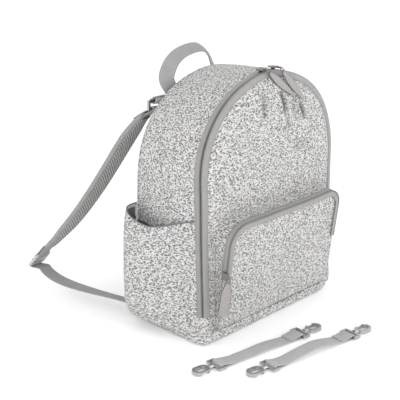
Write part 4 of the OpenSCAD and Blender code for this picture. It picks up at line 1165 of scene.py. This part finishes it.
# ---- Pulls ----
def pull_parts(label, body, place, length, width, taper, thick, node):
    """One pull: a folded leather tab with a stitched edge, and the wire link that hangs it from its pin.
    The place
    function puts (across, through, down) into the bag's frame; the tab widens, then narrows by the taper."""
    d = np.linspace(7.6, length, 40)
    share = (d - d[0]) / (d[-1] - d[0])
    half = width / 2 * (0.52 + 0.48 * ease(0, 0.35, share)) * (1 - taper * ease(0.55, 1.0, share))
    half = half * np.sqrt(np.clip(1 - ((share - 0.93) / 0.07).clip(0) ** 2, 0.0,
        1)) * np.sqrt(np.clip(1 - ((0.03 - share) / 0.03).clip(0) ** 2, 0.05, 1))
    half = np.maximum(half, 0.3)
    sec = oblong(2.0, thick, thick * 0.42, 3)
    section = sec[None] * np.stack([half, np.ones_like(half) * (0.85 + 0.15 * np.sin(share * math.pi))],
        -1)[:, None]
    sway = 0.5 * np.sin(share * math.pi * 1.6)
    mid = place(np.zeros_like(d), sway, d)
    ax = np.broadcast_to(unit(place(1.0, 0, 0) - place(0.0, 0, 0)), mid.shape)
    th = np.broadcast_to(unit(place(0.0, 1, 0) - place(0.0, 0, 0)), mid.shape)
    tab = sweep(f"{label}_tab", mid, ax, th, section, body, "pull_leather", TAB, replaces=(node,),
        settled=False)
    # painted shadow: a near-black copy of the tab, wider and set behind it, is partly the leather's edge
    # paint and partly the shadow in the gap between pull and panel
    edge_paint_and_shadow = section * np.where(np.arange(2) == 0, 1, 0.62)
    edge_paint_and_shadow[..., 0] *= 1 + 0.55 / half[:, None]
    sweep(f"{label}_edge", mid + th * 0.45, ax, th, edge_paint_and_shadow, body, "pull_leather", TAB_EDGE_AND_SHADOW, settled=False)
    edge_and_shadow = np.concatenate([np.stack([-(half - 1.3), d], -1)[3:-3], np.stack([half - 1.3, d], -1)[3:-3][::-1]])
    edge_and_shadow = edge_and_shadow[np.abs(edge_and_shadow[:, 0]) > 0.2]
    for k, sgn in enumerate((-1, 1)):
        pts = place(edge_and_shadow[:, 0], sgn * (thick / 2 + 0.02) + np.interp(edge_and_shadow[:, 1], d, sway), edge_and_shadow[:, 1])
        stitches(f"{label}_tab_stitching_{k + 1}", pts, th[0] * sgn, body, pitch=2.3, length=1.6,
            width=0.36, lift=0.0, slot="pull_leather", settled=False)
    a = np.linspace(0, 2 * math.pi, 40)
    lx, ld = 2.0 * np.sin(a), 5.6 - 6.6 * np.cos(a)
    loop = place(lx, np.zeros_like(lx), ld)
    t = tangents(loop)
    sweep(f"{label}_link", loop, unit(np.cross(t, th[0])), np.broadcast_to(th[0], loop.shape),
        circle(0.75, 8), body, "metal", NICKEL_DARK, ring=True, settled=False)
    return tab


def make_pulls():
    """Pulls of the main zip and of the pocket zip, hanging as their solids do."""
    for name, angle, y, turn, length in (("left", -5.0, -9.4, 51, 66.0), ("right", 5.0, -12.8, 42, 69.0)):
        hang = math.radians(turn)
        a = math.radians(angle)

        def place(across, through, down, a=a, y=y, hang=hang):
            across, through, down = (np.asarray(v, float) for v in (across, through, down))
            x = across * math.cos(hang) + down * math.sin(hang)
            z = across * math.sin(hang) - down * math.cos(hang)
            px, pz = HALF * math.sin(a) + 2.3 * math.sin(a), ARCH_Z + HALF * math.cos(a) + 2.3 * math.cos(a)
            return front(px + x, y - 1.3 + through - 0.07 * down, pz + z)

        pull_parts(f"main_pull_{name}", f"main_pull_{name}", place, length, 10.8, 0.5, 2.0,
            f"main_pull_{name}")

    def place(across, through, down):
        across, through, down = (np.asarray(v, float) for v in (across, through, down))
        h, spin = math.radians(-8), math.radians(32)
        across, through = (across * math.cos(spin) + through * math.sin(spin),
                           through * math.cos(spin) - across * math.sin(spin))
        x = across * math.cos(h) + down * math.sin(h)
        z = across * math.sin(h) - down * math.cos(h)
        return pocket(-POCKET_HALF - 1.7 + x, -8.8 + through - 0.06 * down, SLIDER_Z + z)

    pull_parts("pocket_pull", "pocket_pull", place, 56.0, 14.0, -0.12, 2.2, "pocket_pull")


# ---- Handle ----
def make_handle():
    """Carry handle: flat webbing sewn to the yoke that twists a quarter turn as it rises and another as it
    comes down,
    leaning a little to the left and tilted so that its far edge is the higher."""
    pts = np.array([
        (-60, BACK - 1.4, 303), (-62, BACK - 1.2, 320), (-69, BACK + 5, 340), (-73, BACK + 9, 355),
        (-62, BACK + 13, 371),
        (-50, BACK + 14, 381), (-35, BACK + 15, 387), (-14, BACK + 15, 390.5), (2, BACK + 14, 389.5),
        (13, BACK + 13, 382),
        (19, BACK + 11, 372), (24, BACK + 8, 356), (29, BACK + 3, 339), (33, BACK - 1.2, 320),
        (34, BACK - 1.4, 303),
    ], float)
    turn = np.radians([180, 178, 164, 138, 112, 98, 92, 90, 84, 68, 52, 42, 24, 3, 0])
    line = smooth_line(np.column_stack([pts, turn * 40]), 120)
    path, psi = line[:, :3], line[:, 3] / 40
    tilt = math.radians(26)
    across = bag(np.cos(psi), np.sin(psi) * math.cos(tilt), np.sin(psi) ** 2 * math.sin(tilt))
    t = tangents(path)
    across = unit(across - t * np.sum(across * t, 1, keepdims=True))
    up = np.cross(t, across)
    hinge_low, hinge_high = (0, HANDLE_Y, HANDLE_Z - 14), (0, HANDLE_Y, HANDLE_Z + 8)
    crossing = ("bag", "carry_handle", hinge_low, hinge_high)
    sweep("carry_handle_webbing", path, across, up, oblong(22.5, 2.6, 1.1), crossing, "webbing", WEBBING,
        replaces=("carry_handle",), settled=False)
    for k, sgn in enumerate((-1, 1)):
        row = path + across * sgn * 8.6
        for j, face in enumerate((-1, 1)):
            stitches(f"carry_handle_stitching_{k + 1}{'ab'[j]}", row + up * face * 1.32, up * face,
                crossing, pitch=3.0, length=2.2, width=0.42, finish=THREAD, lift=0.0, slot="webbing",
                settled=False)


# ---- Shoulder straps ----
PAD_CURVE = [(14, STRAP_AXIS - 24), (48, STRAP_AXIS - 56), (0.46 * STRAP_REACH, 0.445 * STRAP_AXIS),
    (STRAP_REACH - 17, 52)]
LOWER_CURVE = [(STRAP_REACH - 4, 20), (STRAP_REACH - 29, -6), (0.6 * STRAP_REACH, -2), (8, 1)]


def strap_line(side, line):
    """Path, direction across, and outward direction of a strap curve given as (reach, height)."""
    t = tangents(line)
    out = np.stack([-t[:, 1], t[:, 0]], -1)
    out = out * np.sign(np.sum(out * [1, 0], 1, keepdims=True).mean() or 1)
    path = strap(side, 0, line[:, 0], line[:, 1])
    across = unit(strap(side, 1, line[:, 0], line[:, 1]) - path)
    up = unit(strap(side, 0, line[:, 0] + out[:, 0], line[:, 1] + out[:, 1]) - path)
    return path, across, up


def make_straps():
    """Padded shoulder straps with mesh facing the back, bound edges, webbing ends and adjusters."""
    for side, name in ((-1, "left"), (1, "right")):
        body = f"strap_{name}"
        line = even(bezier(PAD_CURVE, np.linspace(0, 1, 400)), 90)
        path, across, up = strap_line(side, line)
        lean = -side * math.radians(8)
        across, up = (across * math.cos(lean) + up * math.sin(lean),
                      up * math.cos(lean) - across * math.sin(lean))
        v = lengths(line)
        total = v[-1]

        def half_at(at, total=total):
            """Half width along the strap: full in the middle, drawn in at the top and tapering over the
            last third."""
            near = 0.60 + 0.40 * ease(0, 48, at)
            far = 1 - 0.50 * ease(total - 62, total - 4, at)
            return 29.5 * near * far

        w = half_at(v)
        q = np.linspace(0, 2 * math.pi, 41)[:-1]
        cq, sq_ = np.cos(q), np.sin(q)
        ends = np.sqrt(np.clip(1 - (1 - np.minimum(v, total - v) / 3.0).clip(0) ** 2, 0.12, 1))
        sec = np.stack([np.sign(cq) * np.abs(cq) ** 0.35, np.sign(sq_) * np.abs(sq_) ** 0.9], -1)
        thick = 4.3 * ends * (0.75 + 0.25 * ease(0, 30, np.minimum(v, total - v)))
        section = sec[None] * np.stack([w * (0.97 + 0.03 * ends), thick], -1)[:, None]
        section[..., 1] += 0.28 * ripple(v[:, None], sec[None, :, 0] * 30, 101 + side, 55)
        closed = np.concatenate([section, section[:, :1]], 1)
        grid = path[:, None] + closed[..., :1] * across[:, None] + closed[..., 1:] * up[:, None]
        first, last = (np.repeat(grid[i : i + 1 or None, :-1].mean(1, keepdims=True), grid.shape[1], 1)
            for i in (0, -1))
        grid = np.concatenate([first, grid, last])
        girth = np.concatenate([[0], np.cumsum(np.linalg.norm(np.diff(closed.mean(0), axis=0), axis=1))])
        uu, vv = np.meshgrid(girth, np.concatenate([[0], v, [total]]))
        faces = quads(*grid.shape[:2])
        lateral = np.abs(np.concatenate([closed[:1], closed, closed[-1:]])[..., 0]) / np.concatenate([w[:1],
            w, w[-1:]])[:, None]
        pin = np.where((lateral > 0.74), 1.0, 0.0)
        pin[:3], pin[-3:] = 1, 1
        pts = puff(grid.reshape(-1, 3), faces, pin.ravel(), 1.3, 3.0)
        pad = piece(f"strap_pad_{name}_cover", pts, faces, np.stack([uu, vv], -1), body, "strap_cover",
            STRAP_CLOTH, replaces=(f"strap_pad_{name}",), settled=False)
        # mesh face towards the bag
        inner = v[(v > 6) & (v < total - 6)]
        keep = (v > 6) & (v < total - 6)
        g = np.linspace(-1, 1, 19)
        gx = (half_at(inner) - 3.4)[:, None] * g[None]
        crown = 4.3 * np.sqrt(1 - np.abs(gx / half_at(inner)[:, None]) ** (2 / 0.35)) ** 0.9
        lift = -(crown + 0.5 + 1.0 * (1 - g[None] ** 4) + 0.2
            * ripple(inner[:, None], g[None] * 24, 131 + side, 40))
        mg = path[keep][:, None] + gx[..., None] * across[keep][:, None] + lift[..., None] * up[keep][:, None]
        slab(f"strap_mesh_{name}_face", mg, 0.9, body, "air_mesh", MESH,
            np.stack(np.broadcast_arrays(gx, inner[:, None]), -1), side=1, replaces=(f"strap_mesh_{name}",),
            settled=False)
        # binding folded over the edge, all the way round
        th = np.linspace(0, 2 * math.pi, 281)
        n = 2 / 16
        along = total / 2 * (1 - np.sign(np.cos(th)) * np.abs(np.cos(th)) ** n)
        flat = np.sign(np.sin(th)) * np.abs(np.sin(th)) ** n * half_at(along)
        ring2 = np.stack([flat, along], -1)
        ring2 = even(ring2, 281)
        pick = lambda a, at: np.stack([np.interp(at, v, a[:, i]) for i in range(3)], -1)
        pr, ar, ur, tr = (pick(a, ring2[:, 1]) for a in (path, across, up, tangents(path)))
        d2 = np.gradient(ring2, axis=0)
        d2[0] = d2[-1] = ring2[1] - ring2[-2]
        d2 /= np.linalg.norm(d2, axis=1, keepdims=True)
        outw = unit(ar * d2[:, 1:] - tr * d2[:, :1])
        inward = np.sign(np.sum(outw * (ar * ring2[:, :1] + tr * (ring2[:, 1:] - total / 2)), 1).mean())
        outw = outw * inward
        rise = 3.6
        c_out = np.array([(-4.4, rise + 0.35), (-1.9, rise - 0.3), (0.1, rise - 1.5), (0.7, 0),
            (0.1, -rise + 1.5), (-1.9, -rise + 0.3), (-4.4, -rise - 0.35),
                          (-4.4, -rise + 0.5), (-2.2, -rise + 1.1), (-0.7, -rise + 2.1), (-0.1, 0),
                          (-0.7, rise - 2.1), (-2.2, rise - 1.1), (-4.4, rise - 0.5)])
        edge_path = pr + ar * ring2[:, :1]
        sweep(f"strap_{name}_binding", edge_path, outw, ur, c_out, body, "strap_cover", BINDING, ring=True,
            settled=False)
        for k, sgn in enumerate((1, -1)):
            stitches(f"strap_{name}_binding_stitching_{k + 1}", edge_path - outw * 3.4 + ur * sgn * 3.85,
                ur * sgn, body, pitch=3.0, length=2.2, width=0.5, finish=THREAD_DARK, slot="strap_cover",
                settled=False)
        # top webbing folded round the ring's lower bar
        zb = STRAP_AXIS - 15.0
        a = np.linspace(math.pi * 1.1, -math.pi * 0.1, 14)
        loop = np.stack([3.0 * np.cos(a), zb + 3.0 * np.sin(a)], -1)
        path2 = smooth_line(np.vstack([[25, zb - 19.5], [12, zb - 10.5], [2.5, zb - 5.2], loop,
            [9, zb - 4.2], [17, zb - 9.4], [29, zb - 18.5]]), 90)
        p, ac, up2 = strap_line(side, path2)
        up2 = unit(np.cross(tangents(p), ac))
        top_cross = ("bag", body, strap(side, 0, 0, STRAP_AXIS - 15) * MM,
            strap(side, 0, 14, STRAP_AXIS - 27) * MM)
        sweep(f"strap_{name}_top_webbing", p, ac, up2, oblong(23.5, 1.4, 0.6), top_cross, "webbing",
            WEBBING, replaces=(f"strap_ends_{name}",), settled=False)
        # short webbing from the pad's foot into the adjuster
        lock = (STRAP_REACH - 17 + 11, 52 - 15.4)
        a36 = math.radians(36)
        down = lambda r, off=0.0: (lock[0] + r * math.sin(a36) + off * math.cos(a36),
            lock[1] - r * math.cos(a36) + off * math.sin(a36))
        path2 = smooth_line([(STRAP_REACH - 25, 64), (STRAP_REACH - 16, 50), (STRAP_REACH - 9.5, 41.5),
            down(2.0, -1.6), down(7.5, -1.2), down(9.6, 2.6), down(6.2, 4.4), down(1.0, 3.4),
            (STRAP_REACH - 8, 44.5), (STRAP_REACH - 14, 52.5)], 70)
        p, ac, up2 = strap_line(side, path2)
        up2 = unit(np.cross(tangents(p), ac))
        sweep(f"strap_{name}_end_webbing", p, ac, up2, oblong(24, 1.4, 0.6), body, "webbing", WEBBING,
            settled=False)
        # lower webbing from the adjuster to the anchor wing
        low = bezier(LOWER_CURVE, np.linspace(0.06, 1, 60))
        path2 = smooth_line(np.vstack([down(13.0, 4.0), down(17.5, 3.4), down(21.0, 0.0), down(26.0, -1.2),
            low[::4], [2.0, 0.3], [-2.5, 0.6]]), 150)
        p, ac, up2 = strap_line(side, path2)
        up2 = unit(np.cross(tangents(p), ac))
        low_cross = ("bag", body, strap(side, 0, 2, 0) * MM, strap(side, 0, 46, -4) * MM)
        twist = 0.10 * np.sin(np.linspace(0, 5.5, len(p)))[:, None]
        ac, up2 = unit(ac + up2 * twist), unit(up2 - ac * twist)
        sweep(f"strap_{name}_lower_webbing", p, ac, up2, oblong(24.5, 1.7, 0.7), low_cross, "webbing",
            WEBBING, replaces=(f"lower_webbing_{name}",), settled=False)


# ---- Stroller straps ----
def make_stroller_straps():
    """Stroller straps: one band of webbing each, folded over the swivel eyes and sewn back on itself."""
    for name, at, rise in (("front", CLIPS["front"], 7.4), ("rear", CLIPS["rear"], 2.4)):
        body = f"stroller_strap_{name}"
        bar = CLIP_LEN / 2 - 3.5
        a = np.linspace(-math.pi / 2, math.pi / 2, 10)
        right = np.stack([bar + 2.75 * np.cos(a), 2.75 * np.sin(a)], -1)
        x = np.linspace(-bar + 12, bar - 12, 30)
        low = np.stack([x, -2.6 + 0.9 * np.sin((x / bar + 0.25) * math.pi * 1.15) ** 2], -1)
        line = np.vstack([[[-bar + 22, -0.9], [-bar + 12, 0.6]],
            np.stack([-right[:, 0], right[:, 1]], -1)[::-1], low, right, [[bar - 12, 0.6], [bar - 22, -0.9]]])
        line = smooth_line(line, 240)
        line[:, 1] += rise * np.clip(1 - (line[:, 0] / (bar - 12)) ** 2, 0, 1) ** 1.5
        path = clip(at, line[:, 0], 0 * line[:, 0], line[:, 1])
        across = np.broadcast_to(unit(clip(at, 0, 1, 0) - clip(at, 0, 0, 0)), path.shape)
        t = tangents(path)
        sweep(f"stroller_strap_{name}_webbing", path, across, np.cross(t, across),
            oblong(CLIP_W - 0.4, 1.35, 0.6), body, "webbing", WEBBING_PALE,
            replaces=(f"stroller_webbing_{name}",), settled=False)
        for k, (sgn, sx) in enumerate(((s, o) for s in (-1, 1) for o in (11.0, 19.5))):
            y = np.linspace(-9.2, 9.2, 30)
            z = 1.35 - 0.15 * (sx - 11) if sx > 12 else 1.55
            stitches(f"stroller_strap_{name}_stitching_{k + 1}", clip(at, sgn * (bar - sx), y, z),
                [0.0, 0, 1], body, pitch=2.4, length=1.9, width=0.45, finish=THREAD_DARK, lift=0.0,
                slot="webbing", settled=False)


# ---- Hardware that keeps its solids ----
def dress(node, finish_, bevel, segments=3, angle=35):
    """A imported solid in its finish, with its loose triangles joined and its edges rounded."""
    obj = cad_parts[node]
    obj.data.materials.clear()
    obj.data.materials.append(finish_)
    weld = obj.modifiers.new("join", "WELD")
    weld.merge_threshold = 2e-6
    if bevel:
        round_ = obj.modifiers.new("round", "BEVEL")
        round_.width = bevel * MM
        round_.segments = segments
        round_.limit_method = "ANGLE"
        round_.angle_limit = math.radians(angle)
        round_.use_clamp_overlap = True
        round_.harden_normals = False
    obj.data.polygons.foreach_set("use_smooth", np.ones(len(obj.data.polygons), bool))
    obj.data.set_sharp_from_angle(angle=math.radians(40))


def make_hardware():
    """Sliders, rings, adjusters, hooks and swivels keep their solids, with rounded edges and real
    finishes."""
    for n in ("main_slider_left", "main_slider_right", "pocket_slider"):
        dress(n, NICKEL_DARK, 0.55)
    dress("strap_rings", NICKEL, 0.9)
    for n in ("ladder_lock_left", "ladder_lock_right"):
        dress(n, PLASTIC, 1.0)
    for n in CLIPS:
        dress(f"swivel_eyes_{n}", NICKEL, 0.55)
        for s in ("left", "right"):
            dress(f"hook_{n}_{s}", NICKEL, 1.1)
            dress(f"gate_{n}_{s}", NICKEL, 0.5)


# ---- Floor, light, camera ----
SHEETS = {
    "gusset_fabric": "stretched", "back_fabric": "stretched", "yoke_fabric": "stretched",
    "front_pocket_wall_fabric": "stretched",
    "side_pocket_left_fabric": "hung", "side_pocket_right_fabric": "hung",
    "side_pocket_left_lining": "hung", "side_pocket_right_lining": "hung",
    "interior_lining_cloth": "hung", "front_panel_lining": "stretched", "inner_pocket_row_cloth": "hung",
}


def cut_sheet(obj):
    """Reads a piece's cloth coordinates, which give the size it was cut to, and its face areas, half of whose
    sum is its area; nothing is done with them."""
    mark, area = np.zeros(len(obj.data.loops) * 2), np.zeros(len(obj.data.polygons))
    obj.data.uv_layers["cloth"].data.foreach_get("uv", mark)
    obj.data.polygons.foreach_get("area", area)


def make_set():
    """White floor, soft light from both sides and the sky, and the camera."""
    mat, _, shader = finish("floor_white", Base_Color=(0.93, 0.93, 0.93, 1), Roughness=0.9)
    shader.inputs["Emission Color"].default_value = (1, 1, 1, 1)
    shader.inputs["Emission Strength"].default_value = 0.10
    mesh = bpy.data.meshes.new("floor")
    mesh.from_pydata([(-12, -12, 0), (12, -12, 0), (12, 12, 0), (-12, 12, 0)], [], [(0, 1, 2, 3)])
    mesh.materials.append(mat)
    floor = bpy.data.objects.new("floor", mesh)
    bpy.context.scene.collection.objects.link(floor)
    world = bpy.data.worlds.new("soft_sky")
    world.use_nodes = True
    world.node_tree.nodes["Background"].inputs[0].default_value = (1.0, 1.0, 1.0, 1)
    world.node_tree.nodes["Background"].inputs[1].default_value = 1.0
    bpy.context.scene.world = world
    bpy.context.scene.view_settings.view_transform = "Standard"

    def soft(name, place, aim, size, power):
        light = bpy.data.lights.new(name, "AREA")
        light.shape = "RECTANGLE"
        light.size, light.size_y = size
        light.energy = power
        obj = bpy.data.objects.new(name, light)
        obj.location = place
        obj.rotation_mode = "QUATERNION"
        obj.rotation_quaternion = (Vector(aim) - Vector(place)).to_track_quat("-Z", "Y")
        bpy.context.scene.collection.objects.link(obj)

    soft("key_front_left", (-1.7, -1.9, 0.95), (0, 0, 0.18), (1.6, 1.4), 35)
    soft("fill_front_right", (1.5, -2.0, 0.8), (0, 0, 0.18), (1.4, 1.3), 13)
    soft("fill_back", (-1.4, 1.7, 1.3), (0, 0, 0.2), (1.4, 1.2), 9)
    cam = bpy.data.cameras.new("view")
    cam.lens, cam.sensor_width = 85.4, 36.0
    obj = bpy.data.objects.new("view", cam)
    obj.location = (-1.0059, -0.8935, 0.6303)
    obj.rotation_mode = "QUATERNION"
    obj.rotation_quaternion = (Vector((-0.0553, 0.0243, 0.1777)) - obj.location).to_track_quat("-Z", "Y")
    bpy.context.scene.collection.objects.link(obj)
    bpy.context.scene.camera = obj


make_set()
make_shell()
make_zip()
make_panel()
make_pocket()
make_side_pockets()
make_inside()
make_back()
make_pulls()
make_handle()
make_straps()
make_stroller_straps()
make_hardware()
for cloth, held in SHEETS.items():
    cut_sheet(bpy.data.objects[cloth])
